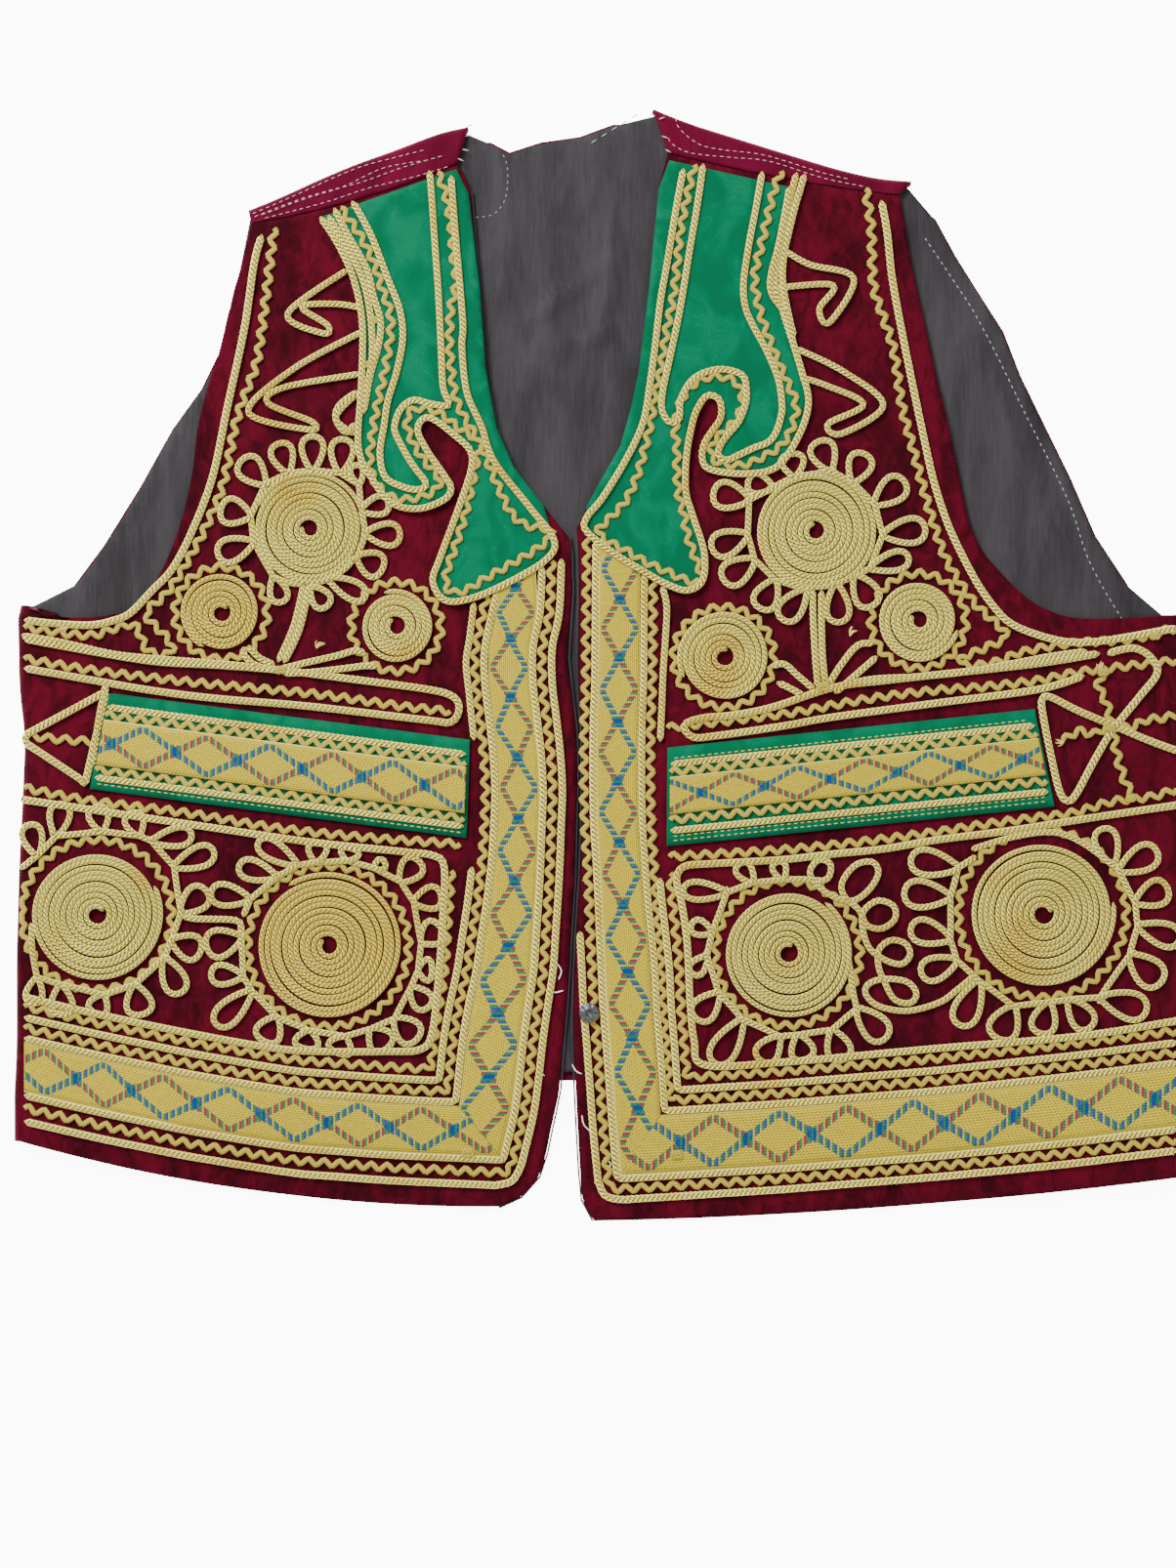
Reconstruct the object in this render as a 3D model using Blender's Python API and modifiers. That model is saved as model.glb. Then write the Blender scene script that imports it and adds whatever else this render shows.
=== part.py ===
"""A velvet waistcoat laid flat, its two fronts on top of its back.

Sizes are millimetres, turned into metres where a mesh is made. X runs to the viewer's
right, Y to the shoulders, and Z up from the table. X = 0 is the middle of the neck.
"""

import math

import bmesh
import bpy

MM = 0.001

# Layers, measured up from the table
SEAM_GAP = 0.3
BACK_THICK = 1.8
LINING_BASE = 2.3
LINING_THICK = 1.0
FRONT_BASE = 3.6
FRONT_THICK = 2.0
FRONT_TOP = FRONT_BASE + FRONT_THICK
STRIP_THICK = 1.6

# Side folds, where each front turns under and meets the back
SIDE_X = 262.0
FOLD_RADIUS = 3.4
FOLD_TAIL = 18.0
FOLD_BULGE = 1.0
BULGE_NEAR, BULGE_FAR = 4.0, 40.0

# Below the back's hem the fronts sink to the table
BACK_HEM_MIDDLE = -186.0
BACK_HEM_SWEEP = 19.0
BACK_HEM_HALF = 245.0
SINK_START = 2.0
SINK_LENGTH = 48.0
SINK_SIDE_NEAR, SINK_SIDE_FAR = 22.0, 130.0

# How far the back and its lining stay clear of the folds round them
TAIL_CLEAR = 4.0
LINING_CLEAR = 0.5
LINING_SIDE = 3.5
LINING_ARM = 1.2
LINING_HEM = 4.0
BACK_HEM_STATIONS = (160, 80, 0, -80, -160)
BACK_LEFT_TOP, BACK_RIGHT_TOP = 26.5, 20.0

# What is sewn on top
LAY = 0.45
APPLIQUE_THICK = 1.0
BAND_THICK = 1.2
BAND_LAY = 0.6
BAND_STATIONS = 22
CORD_WIDTH = 3.8
CORD_HEIGHT = 2.0
CORD_STEP = 16.0
EDGE_WIDTH = 0.8
EDGE_HEIGHT = 1.3

# Across a front, from its centre edge to its side
COLUMNS = (0, 0.07, 0.16, 0.26, 0.36, 0.46, 0.56, 0.66, 0.75, 0.83, 0.90, 0.955, 1)
FOLD_ANGLES = (36, 72, 108, 144, 180)

# Broad soft ridges in the fronts
FOLD_COLUMNS = ("x", "y", "turn", "length", "width", "height")
FOLDS = (
    (-205, -95, 70, 150, 96, 0.9),
    (-150, -185, 15, 170, 70, 0.7),
    (-60, -140, 85, 170, 72, 0.7),
    (200, -90, 112, 150, 96, 0.9),
    (150, -190, 168, 170, 70, 0.7),
    (50, -150, 92, 160, 72, 0.7),
    (-215, 5, 160, 100, 70, 0.6),
    (215, 0, 20, 100, 70, 0.6),
)

# One row for each section of a front: its ends at the centre or neck and at the armhole
# or side fold, how far its middle hangs below the straight line, and whether it turns under
ROW_COLUMNS = ("inner_x", "inner_y", "outer_x", "outer_y", "bow", "folded")
LEFT_ROWS = (
    (-64.0, 224.5, -156.5, 198.0, 3.2, 0),
    (-58.5, 212.5, -159.0, 187.0, 1.5, 0),
    (-56.5, 190.0, -162.5, 172.0, 0, 0),
    (-54.5, 168.5, -167.0, 157.0, 0, 0),
    (-53.3, 150.0, -170.5, 142.0, 0, 0),
    (-52.0, 133.0, -176.0, 124.5, 0, 0),
    (-47.0, 106.5, -180.5, 106.5, 0, 0),
    (-39.5, 89.0, -182.5, 89.0, 0, 0),
    (-32.0, 79.0, -186.0, 71.5, 0, 0),
    (-23.0, 68.0, -191.5, 54.0, 0, 0),
    (-14.5, 57.5, -200.0, 36.5, 0, 0),
    (-13.5, 50.0, -209.0, 26.5, 0, 0),
    (-13.4, 45.5, -218.0, 23.0, 1, 0),
    (-13.3, 41.0, -232.0, 21.5, 5, 0),
    (-13.1, 37.5, -246.0, 22.3, 12, 0),
    (-13.0, 33.0, -260.0, 27.0, 26, 1),
    (-15.0, 4.0, -261.0, 5.0, 9, 1),
    (-13.5, -10.0, -260.5, -12.0, 4, 1),
    (-11.2, -30.0, -258.5, -32.0, 2, 1),
    (-10.8, -51.5, -259.0, -51.5, 0, 1),
    (-11.5, -73.0, -260.0, -73.0, 0, 1),
    (-12.0, -95.5, -261.0, -94.0, 0, 1),
    (-13.5, -117.0, -261.5, -113.0, 0, 1),
    (-14.6, -138.0, -262.0, -132.0, 0, 1),
    (-16.0, -157.5, -262.0, -149.0, 0, 1),
    (-17.5, -174.0, -262.0, -163.0, 1, 1),
    (-18.5, -189.5, -262.2, -175.0, 2, 1),
    (-20.5, -200.0, -262.6, -184.0, 3, 1),
    (-22.5, -209.0, -263.0, -192.0, 4, 1),
    (-24.5, -219.0, -263.0, -200.0, 5, 1),
    (-28.0, -229.5, -263.0, -206.0, 6, 1),
    (-36.0, -238.5, -263.0, -210.0, 7, 1),
    (-46.0, -243.0, -263.0, -213.0, 8, 1),
)
RIGHT_ROWS = (
    (30.0, 229.5, 134.0, 210.5, 2, 0),
    (26.3, 214.0, 136.5, 195.0, 1, 0),
    (24.3, 192.0, 139.5, 178.0, 0, 0),
    (22.0, 168.5, 143.5, 160.0, 0, 0),
    (19.5, 148.0, 148.0, 139.5, 0, 0),
    (17.3, 131.0, 151.5, 124.0, 0, 0),
    (14.0, 115.5, 155.0, 110.0, 0, 0),
    (9.0, 98.0, 158.0, 96.0, 0, 0),
    (0.5, 83.0, 161.0, 82.0, 0, 0),
    (-6.0, 71.0, 164.5, 66.0, 0, 0),
    (-10.5, 61.5, 170.5, 52.0, 0, 0),
    (-9.9, 54.0, 177.5, 43.5, 0, 0),
    (-9.7, 48.0, 184.0, 36.5, 0, 0),
    (-9.6, 43.0, 192.0, 29.5, 0, 0),
    (-9.5, 39.0, 200.0, 25.0, 1, 0),
    (-9.5, 35.5, 208.5, 22.0, 3, 0),
    (-9.5, 32.0, 219.0, 21.0, 6, 0),
    (-9.5, 28.5, 238.0, 21.5, 11, 0),
    (-9.6, 25.0, 262.8, 23.0, 24, 1),
    (-9.8, 2.0, 262.8, 3.0, 10, 1),
    (-9.5, -12.0, 262.5, -12.0, 5, 1),
    (-8.2, -30.0, 262.5, -32.0, 2, 1),
    (-8.0, -51.5, 262.8, -51.5, 0, 1),
    (-8.4, -73.0, 263.0, -73.0, 0, 1),
    (-9.2, -95.5, 263.0, -95.0, 0, 1),
    (-10.6, -117.0, 263.0, -115.0, 0, 1),
    (-11.7, -138.0, 263.0, -135.0, 0, 1),
    (-12.2, -157.5, 263.0, -153.0, 0, 1),
    (-11.8, -174.0, 263.0, -168.0, 0, 1),
    (-11.2, -189.0, 263.0, -181.0, 1, 1),
    (-10.6, -202.0, 263.0, -192.0, 2, 1),
    (-10.0, -214.0, 263.0, -202.0, 3, 1),
    (-9.2, -228.0, 263.0, -213.0, 3, 1),
    (-8.0, -240.0, 263.0, -222.0, 4, 1),
    (-3.0, -249.4, 263.0, -229.0, 4, 1),
)

# Top fold of each shoulder strip, neck first, at shares of the seam's length
STRIP_COLUMNS = ("share", "fold_x", "fold_y")
LEFT_STRIP = (
    (0.0, -59.5, 242.0),
    (0.15, -73.0, 238.8),
    (0.33, -93.0, 231.3),
    (0.5, -110.5, 225.0),
    (0.67, -127.0, 218.0),
    (0.84, -143.5, 210.5),
    (1.0, -158.0, 204.5),
)
RIGHT_STRIP = (
    (0.0, 23.5, 250.0),
    (0.17, 41.5, 243.0),
    (0.36, 67.0, 235.0),
    (0.55, 88.0, 228.5),
    (0.72, 106.5, 223.0),
    (0.87, 124.0, 219.0),
    (1.0, 139.5, 217.5),
)
STRIP_TAIL = 4.0
STRIP_RADIUS = FRONT_TOP / 2
STRIP_SEAM = 0.4
STRIP_ANGLES = (45, 90, 135, 180)

# The back's own edges, seen in the neck and in the armholes
NECK_EDGE = ((-49.5, 235.5), (-41, 231), (-27, 235.5), (-9.5, 238), (5.5, 243.5))
LEFT_ARM_EDGE = (
    (-165, 168.5), (-171, 142), (-179.5, 124.5), (-192.5, 106.5), (-207, 80.5),
    (-223.5, 54), (-236.5, 36.5),
)
RIGHT_ARM_EDGE = (
    (150.5, 201), (159.5, 184.5), (169.5, 168.5), (181, 150.5), (189, 130),
    (200, 107.5), (211.5, 84), (222.5, 58.5), (237, 36.5),
)

# Cord that outlines each green lapel: hooked outer end, slot, then pointed lower corner
LEFT_LAPEL = (
    (-125.4, 200.5), (-117.5, 188.5), (-110.4, 172.7), (-106.5, 152.9), (-106.9, 125.6),
    (-108.2, 97.5), (-102.1, 83.4), (-93.3, 72.5), (-81.4, 70), (-70, 74), (-66.8, 79),
    (-69.5, 84.3), (-77.9, 96.6), (-81.8, 105.8), (-76.6, 110.7), (-64.2, 101.9),
    (-58, 95.3), (-58.1, 86.5), (-64.2, 68.4), (-71.7, 48.2), (-75, 37.6),
    (-69.5, 29), (-57.6, 30), (-40.9, 37.2), (-24.5, 47.2), (-20.8, 56),
    (-31.7, 70.6), (-47.5, 90.9), (-53.2, 106.7), (-59.8, 122.1), (-62, 142.3),
    (-61.6, 153.8), (-64.7, 190.3), (-66.9, 219),
)
RIGHT_LAPEL = (
    (37, 222), (33.4, 202.6), (29.9, 181.1), (26.8, 163.5), (24.2, 141.9), (22, 126),
    (19, 108.9), (11.9, 93.1), (0.9, 75), (-6.2, 66.2), (-6.4, 60), (6.6, 49.6),
    (17.6, 42.9), (29, 36.5), (38.5, 33.5), (45.5, 38), (46.2, 50.4), (41.8, 64.9),
    (38.3, 75.9), (37.8, 84), (38.3, 93.5), (40, 104.1), (42.7, 113.7), (47.5, 120.5),
    (53, 118.5), (53.7, 111.1), (50.2, 105.4), (46.2, 99), (45.4, 92), (49, 87.5),
    (64.7, 85.6), (79, 89), (88.9, 103.6), (92.8, 117.5), (90.2, 130), (86.2, 143.2),
    (83, 156), (76.4, 166), (76, 174), (78.8, 185), (81.4, 197.3), (84.4, 214),
)
# The same lapels along the neck, where the velvet runs out to the edge
LEFT_LAPEL_NECK = (
    (-26, 71.5), (-39.5, 89), (-47, 106.5), (-52, 133), (-54.5, 168.5), (-59.5, 211), (-65, 222),
)
RIGHT_LAPEL_NECK = (
    (31, 226), (26.3, 213), (22, 168.5), (17.3, 131), (14, 115.5), (9, 98), (0.5, 83), (-6, 71),
)
LAPEL_INSET = 1.4

# Woven band and cords along front and hem: where each starts, and its distances from the
# outermost cord
TRIM_COLUMNS = ("name", "start_y", "at_top", "below", "at_hem")
LEFT_TRIMS = (
    ("edge_cord", 36.5, 0.0, 0.0, 0.0),
    ("band_cord", 34.0, 8.6, 8.6, 11.6),
    ("band_near", 30.0, 10.9, 10.9, 13.9),
    ("band_far", 20.0, 27.8, 33.6, 34.8),
    ("inner_cord", 19.0, 30.1, 35.9, 37.1),
    ("frame_cord", -90.0, 38.6, 44.4, 46.4),
)
RIGHT_TRIMS = (
    ("edge_cord", -119.0, 0.0, 0.0, 0.0),
    ("band_cord", 48.0, 8.7, 8.7, 9.4),
    ("band_near", 44.0, 11.0, 11.0, 11.7),
    ("band_far", 33.0, 28.1, 30.3, 36.8),
    ("inner_cord", 36.0, 30.4, 32.6, 39.1),
    ("frame_cord", -95.0, 36.6, 39.2, 48.2),
)
# Heights between which each side's trims spread from at_top to below
LEFT_WIDENS = (-70.0, -170.0)
RIGHT_WIDENS = (-90.0, -140.0)

# The outermost cord, down the front and then along the hem
LEFT_EDGE_RUN = (
    (-18.0, 36.5), (-18.6, 22), (-22.5, 4), (-21.5, -10), (-18.5, -34), (-17.0, -51.5),
    (-18.5, -95.5), (-21.5, -139.5), (-25, -160), (-29, -196), (-33.5, -215.5), (-38, -232),
)
LEFT_HEM_RUN = (
    (-38, -233.5), (-94.5, -231), (-138.5, -227.5), (-182.5, -220), (-226.5, -211), (-256, -204),
)
RIGHT_EDGE_RUN = (
    (-11, 30), (-11.3, -7.5), (-12.1, -28), (-12.2, -52), (-11.6, -78.8), (-10.4, -91),
    (-9.3, -118.6), (-8.4, -137), (-7.6, -155), (-5.7, -175.6), (-4.4, -195), (-2.3, -220.6),
    (-1, -232),
)
RIGHT_HEM_RUN = (
    (-2, -240), (19.5, -239), (81.5, -235), (147.5, -229.5), (213.5, -222.5), (255, -217),
)
CORNER_CLEAR = 6.0
LEVEL_STEP = 16
STATION_STEP = 17
CORNER_ROUND = {"edge_cord": 9.0, "band_cord": 2.0, "inner_cord": 2.5, "frame_cord": 2.5}

# Where the bands start, under the lapels' lower edges, and the cords beside them
LEFT_BAND_TOP = ((-30, 37.5), (-46, 29))
RIGHT_BAND_TOP = ((-0.3, 50), (17.2, 39))

# Pocket flaps, as top left, top right, bottom right and bottom left
LEFT_POCKET = ((-220.9, -12.2), (-58.5, -33.2), (-60, -77.2), (-228.4, -55.2))
RIGHT_POCKET = ((29.8, -36.7), (194, -19.5), (202.8, -63.1), (29.5, -80.8))
POCKET_BAND = (0.28, 0.68)
POCKET_END = 1.5
POCKET_STATIONS = 12

# Cords that lie by themselves
ARMHOLE_CORDS = {
    "left": (
        (-151.4, 192.7), (-154.9, 180), (-159.3, 150.7), (-166.8, 115.9), (-173.8, 83.4),
        (-183.5, 58.3), (-191.8, 42.9), (-200.6, 33.5), (-210.3, 23.4), (-218.7, 19.8),
        (-228.4, 18.0), (-242.4, 18.6), (-256, 20.0),
    ),
    "right": (
        (125.4, 208), (128, 193.8), (130.7, 170.5), (137.7, 134), (145.2, 98.3),
        (149.2, 81.2), (154.9, 64), (161.5, 49.5), (169.4, 35), (177.3, 24.4),
        (183.9, 18.4), (194.5, 13.9), (207.7, 10.6), (220.9, 10.6), (234.1, 12.5), (256, 16.5),
    ),
}
POCKET_CORDS = {
    "left": (
        (-256, 11.6), (-235.4, 7.7), (-200.6, 1.9), (-172.5, 0.2), (-144.3, -2), (-116.2, -5.5),
        (-78, -10.6), (-66, -14), (-63.3, -19.5), (-67, -25.3), (-78, -24.4), (-130.2, -18.3),
        (-172.5, -14.7), (-200.6, -11.2), (-228.4, -6.4), (-256, -1.5),
    ),
    "right": (
        (223, 5.4), (194.9, 0.8), (149.6, -4.2), (126.7, -6.8), (103.8, -9.9), (76.6, -18.7),
        (59, -22.2), (46, -23.4), (37.5, -26.5), (41, -32), (52, -31.4), (81.4, -27.1),
        (103.8, -23.1), (149.6, -16.9), (194.9, -10.8), (216, -4.6),
    ),
}
PANEL_CORDS = {
    "left": (
        (-256, -60.3), (-214.3, -66.5), (-172.5, -72.7), (-130.2, -78.9), (-88.4, -83.3),
        (-75, -85), (-70, -90), (-70.4, -110), (-72.5, -140), (-75.5, -165), (-81, -171.8),
        (-95, -172.6), (-121.9, -172.6), (-145, -171.2), (-182.5, -164.7), (-226.6, -155.6),
        (-256, -148.5),
    ),
    "right": (
        (256, -62.6), (217.4, -68.4), (183.5, -73.7), (149.6, -78.1), (126.7, -82.0), (103.8, -84.3),
        (81.4, -86.8), (50, -88.6), (38.5, -89.5), (34.6, -92.5), (34, -97), (36.3, -107),
        (38.7, -125), (39.9, -150), (41.8, -168), (46.5, -178.6), (81.4, -177.4),
        (147, -171.5), (213.6, -165.8), (256, -159),
    ),
}
SIDE_MOTIFS = {
    "left": (
        (-254.5, -27.5), (-240, -20), (-226.5, -14.5), (-226.5, -20), (-231.2, -47),
        (-235, -50), (-249.8, -40.7), (-255, -34),
    ),
    "right": (
        (198.8, -17.5), (212, -20.5), (224.5, -25.5), (225.8, -33), (217, -46.5),
        (209.3, -59.3), (206, -57),
    ),
}
SQUIGGLES = {
    "left_upper": ((-116.5, 175), (-127, 167), (-138.5, 158), (-133, 151.5), (-122.5, 149.5)),
    "left_lower": ((-113, 144.5), (-137.5, 132.5), (-155.5, 116), (-147, 109), (-131, 106.8)),
    "right_upper": ((85.5, 184), (97, 177.5), (112.5, 173), (111, 163), (102.5, 154)),
    "right_lower": ((92.5, 141), (108.5, 131.5), (125.5, 118), (118, 109.5), (107, 105.4)),
}
STEMS = {
    "left": ((-133.9, 33.0), (-137, 21), (-142.5, 4.6)),
    "right": ((96.6, 30.5), (97.2, 14), (98.2, -4.0)),
}
STEM_WIDTH = 7.6

# Coiled-cord rosettes
ROSETTE_COLUMNS = ("name", "x", "y", "radius", "coils", "around")
ROSETTES = (
    ("rosette_hem_left_side", -225.3, -111.5, 29.5, 5, 16),
    ("rosette_hem_left_centre", -121.9, -125.6, 32.6, 5, 16),
    ("rosette_hem_right_centre", 83.6, -128.7, 28.6, 5, 16),
    ("rosette_hem_right_side", 198.0, -111.1, 32.1, 5, 16),
    ("rosette_chest_left", -130.2, 60.9, 26.0, 4, 14),
    ("rosette_chest_right", 98.1, 60.0, 27.3, 4, 14),
    ("rosette_small_left_side", -169.8, 23.5, 16.7, 3, 12),
    ("rosette_small_left_centre", -91.5, 17.4, 15.4, 3, 12),
    ("rosette_small_right_centre", 55.0, 3.7, 19.4, 3, 12),
    ("rosette_small_right_side", 144.3, 20.0, 16.7, 3, 12),
)
DISC_EDGE = 1.2
DISC_VALLEY = 1.7
DISC_CREST = 2.5
DISC_MIDDLE = 2.8
CREST_SHARE = 0.55
DISC_UNDER = (0.68, 0.34)

# Looped cord round six of them: ring radius, first angle, sweep, and each loop's reach
PETAL_COLUMNS = ("name", "x", "y", "ring", "start", "sweep", "reaches")
PETALS = (
    ("petals_hem_left_side", -225.3, -111.5, 36.5, 142, -286,
     (9, 6, 5.4, 5.4, 10, 11, 10, 10, 10, 6, 2.2, 2.2, 8)),
    ("petals_hem_left_centre", -121.9, -125.6, 38.3, 150, -352,
     (9, 10, 5, 3, 3.2, 5, 8, 8.2, 8.5, 8, 9, 8, 3.5, 3, 3, 8, 10, 9, 9)),
    ("petals_hem_right_centre", 83.6, -128.7, 35.5, 132, -350,
     (6, 2.2, 1.6, 3.5, 10, 11, 11, 10, 11, 6, 5, 4.5, 5, 6, 4.2, 4.2)),
    ("petals_hem_right_side", 198.0, -111.1, 43.0, 56, -270,
     (8, 9, 9, 10, 10, 10, 9, 7, 7, 9, 10, 10, 10, 9)),
    ("petals_chest_left", -130.2, 60.9, 28.6, -84, 332,
     (6, 8, 9, 5, 2.6, 7, 9, 9, 10, 10, 9, 7, 5)),
    ("petals_chest_right", 98.1, 60.0, 29.8, -76, 332,
     (6, 8, 10, 10, 9, 7, 7, 5, 0.6, 6, 10, 11, 8, 6)),
)
PETAL_NECK = 0.21
PETAL_BELLY = 0.36
PETAL_HALF = 1.8
PETAL_SHOULDER = 0.62
PETAL_WIDTH, PETAL_WIDENS = 0.75, 0.03

# Press snap half on the right front's edge
SNAP_X, SNAP_Y = -5.3, -155.1
SNAP_RADIUS = 4.4
SNAP_HEIGHT = 2.2
SNAP_FLANGE = 0.9
SNAP_SOCKET = 1.6
SNAP_LIP = 0.8
SNAP_AROUND = 18


def ease(share):
    """0 to 1 with level ends."""
    share = min(1.0, max(0.0, share))
    return share * share * (3 - 2 * share)


def ridge(x, y, fold):
    """Height of one broad soft ridge at a point."""
    turn = math.radians(fold["turn"])
    dx, dy = x - fold["x"], y - fold["y"]
    along = (dx * math.cos(turn) + dy * math.sin(turn)) / (fold["length"] / 2)
    across = (dy * math.cos(turn) - dx * math.sin(turn)) / (fold["width"] / 2)
    if abs(along) >= 1 or abs(across) >= 1:
        return 0.0
    return fold["height"] * (1 - along ** 2) ** 2 * (1 - across ** 2) ** 2


RIDGES = [dict(zip(FOLD_COLUMNS, row)) for row in FOLDS]


def back_hem(x):
    return BACK_HEM_MIDDLE - BACK_HEM_SWEEP * (x / BACK_HEM_HALF) ** 2


def top(x, y):
    """Height of a front's upper face."""
    side = SIDE_X - abs(x)
    past_hem = ease((back_hem(x) - SINK_START - y) / SINK_LENGTH)
    off_side = ease((side - SINK_SIDE_NEAR) / (SINK_SIDE_FAR - SINK_SIDE_NEAR))
    bulge = FOLD_BULGE * (1 - ease((side - BULGE_NEAR) / (BULGE_FAR - BULGE_NEAR)))
    ridges = sum(ridge(x, y, fold) for fold in RIDGES)
    return FRONT_TOP + bulge + ridges - FRONT_BASE * past_hem * off_side


def flat(x, y):
    """Height of the table."""
    return 0.0


def material(name, colour, roughness, metallic=0.0):
    made = bpy.data.materials.new(name)
    made.use_nodes = True
    shader = made.node_tree.nodes["Principled BSDF"]
    shader.inputs["Base Color"].default_value = (*colour, 1)
    shader.inputs["Roughness"].default_value = roughness
    shader.inputs["Metallic"].default_value = metallic
    return made


def new_object(name, points, faces, finish, closed=True):
    """One object from points in millimetres and the faces between them."""
    mesh = bpy.data.meshes.new(name)
    mesh.from_pydata([(x * MM, y * MM, z * MM) for x, y, z in points], [], faces)
    mesh.validate()
    if closed:
        shell = bmesh.new()
        shell.from_mesh(mesh)
        bmesh.ops.recalc_face_normals(shell, faces=shell.faces[:])
        shell.to_mesh(mesh)
        shell.free()
    mesh.materials.append(finish)
    made = bpy.data.objects.new(name, mesh)
    collection.objects.link(made)
    return made


def solidify(made, thickness, offset):
    wall = made.modifiers.new("wall", "SOLIDIFY")
    wall.thickness = thickness * MM
    wall.offset = offset


def smooth_path(points, step, closed=False):
    """Points a step apart on a smooth curve through hand-chosen ones."""
    count = len(points)
    found = []
    for i in range(count if closed else count - 1):
        if closed:
            four = [points[(i + k) % count] for k in (-1, 0, 1, 2)]
        else:
            four = [points[min(count - 1, max(0, i + k))] for k in (-1, 0, 1, 2)]
        a, b, c, d = four
        pieces = max(1, round(math.dist(b, c) / step))
        for piece in range(pieces):
            t = piece / pieces
            found.append(tuple(
                0.5 * (2 * b[k] + (c[k] - a[k]) * t + (2 * a[k] - 5 * b[k] + 4 * c[k] - d[k]) * t * t
                       + (3 * b[k] - a[k] - 3 * c[k] + d[k]) * t ** 3)
                for k in (0, 1)
            ))
    if not closed:
        found.append(tuple(points[-1]))
    return found


def value_at(run, where, key, value):
    """Reads a coordinate of a run of points at a place along the other one."""
    run = sorted(run, key=lambda point: point[key])
    for low, high in zip(run, run[1:]):
        if where <= high[key]:
            break
    share = (where - low[key]) / (high[key] - low[key])
    return low[value] + share * (high[value] - low[value])


def normals(path, closed):
    """Unit vector to the left of the path at each point."""
    found = []
    count = len(path)
    for i in range(count):
        before = path[(i - 1) % count] if closed else path[max(0, i - 1)]
        after = path[(i + 1) % count] if closed else path[min(count - 1, i + 1)]
        dx, dy = after[0] - before[0], after[1] - before[1]
        size = math.hypot(dx, dy)
        found.append((-dy / size, dx / size))
    return found


def sweep(name, path, section, finish, closed=False):
    """A section of (across, up) points carried along a path on the fronts' upper face."""
    sides = len(section)
    points = []
    for (x, y), (nx, ny) in zip(path, normals(path, closed)):
        for across, up in section:
            px, py = x + across * nx, y + across * ny
            points.append((px, py, top(px, py) + up))
    faces = []
    count = len(path)
    for i in range(count if closed else count - 1):
        j = (i + 1) % count
        for k in range(sides):
            m = (k + 1) % sides
            faces.append((i * sides + k, i * sides + m, j * sides + m, j * sides + k))
    if not closed:
        faces.append(tuple(reversed(range(sides))))
        faces.append(tuple(range((count - 1) * sides, count * sides)))
    return new_object(name, points, faces, finish)


def cord(name, points, finish, base=LAY, width=CORD_WIDTH, step=CORD_STEP, closed=False):
    """A cord as a low ridge, three-sided because the looks come with the surface."""
    half = width / 2
    section = ((-half, base), (0, base + CORD_HEIGHT), (half, base))
    return sweep(name, smooth_path(points, step, closed), section, finish, closed)


def ribbon(name, near, far, base, thickness, finish, lanes=2):
    """A flat strip of cloth between two edges that have the same number of points."""
    points = []
    for a, b in zip(near, far):
        for lane in range(lanes + 1):
            x, y = (a[k] + (b[k] - a[k]) * lane / lanes for k in (0, 1))
            points.append((x, y, top(x, y) + base))
    width = lanes + 1
    faces = []
    for i in range(len(near) - 1):
        for lane in range(lanes):
            a = i * width + lane
            faces.append((a, a + 1, a + 1 + width, a + width))
    made = new_object(name, points, faces, finish, closed=False)
    if made.data.polygons[0].normal.z < 0:
        made.data.flip_normals()
    solidify(made, thickness, 1)
    return made


def plate(name, outline, base, thickness, finish, height=top):
    """A flat piece of cloth cut to an outline, its underside at a height over the layer below."""
    points = [(x, y, height(x, y) + base) for x, y in outline]
    made = new_object(name, points, [tuple(range(len(outline)))], finish, closed=False)
    mesh = bmesh.new()
    mesh.from_mesh(made.data)
    for face in mesh.faces:
        if face.normal.z < 0:
            face.normal_flip()
    bmesh.ops.triangulate(mesh, faces=mesh.faces[:])
    mesh.to_mesh(made.data)
    mesh.free()
    solidify(made, thickness, 1)
    return made


def row_point(row, u, inward):
    """A point of one section, u from its centre end to its side."""
    outer = row["outer_x"] - inward * FOLD_RADIUS * row["folded"]
    x = row["inner_x"] + (outer - row["inner_x"]) * u
    y = row["inner_y"] + (row["outer_y"] - row["inner_y"]) * u - row["bow"] * 4 * u * (1 - u)
    return x, y


def front(name, rows, sign, finish):
    """A front: its upper face, then round the side fold and a little way under."""
    points, index = [], {}
    for r, row in enumerate(rows):
        for c, u in enumerate(COLUMNS):
            x, y = row_point(row, u, sign)
            index[r, c] = len(points)
            points.append((x, y, top(x, y)))
        if not row["folded"]:
            continue
        side_x, side_y = row_point(row, 1, sign)
        half = top(side_x, side_y) / 2
        last = len(COLUMNS)
        for k, angle in enumerate(FOLD_ANGLES):
            turn = math.radians(angle)
            index[r, last + k] = len(points)
            out = sign * FOLD_RADIUS * math.sin(turn)
            points.append((side_x + out, side_y, half + half * math.cos(turn)))
        index[r, last + len(FOLD_ANGLES)] = len(points)
        points.append((row["outer_x"] - sign * FOLD_TAIL, side_y, 0))
    faces = []
    for r, c in index:
        corners = [(r, c), (r + 1, c), (r + 1, c + 1), (r, c + 1)]
        if all(corner in index for corner in corners):
            face = [index[corner] for corner in corners]
            faces.append(face if sign > 0 else face[::-1])
    made = new_object(name, points, faces, finish, closed=False)
    solidify(made, FRONT_THICK, -1)
    return made


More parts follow.
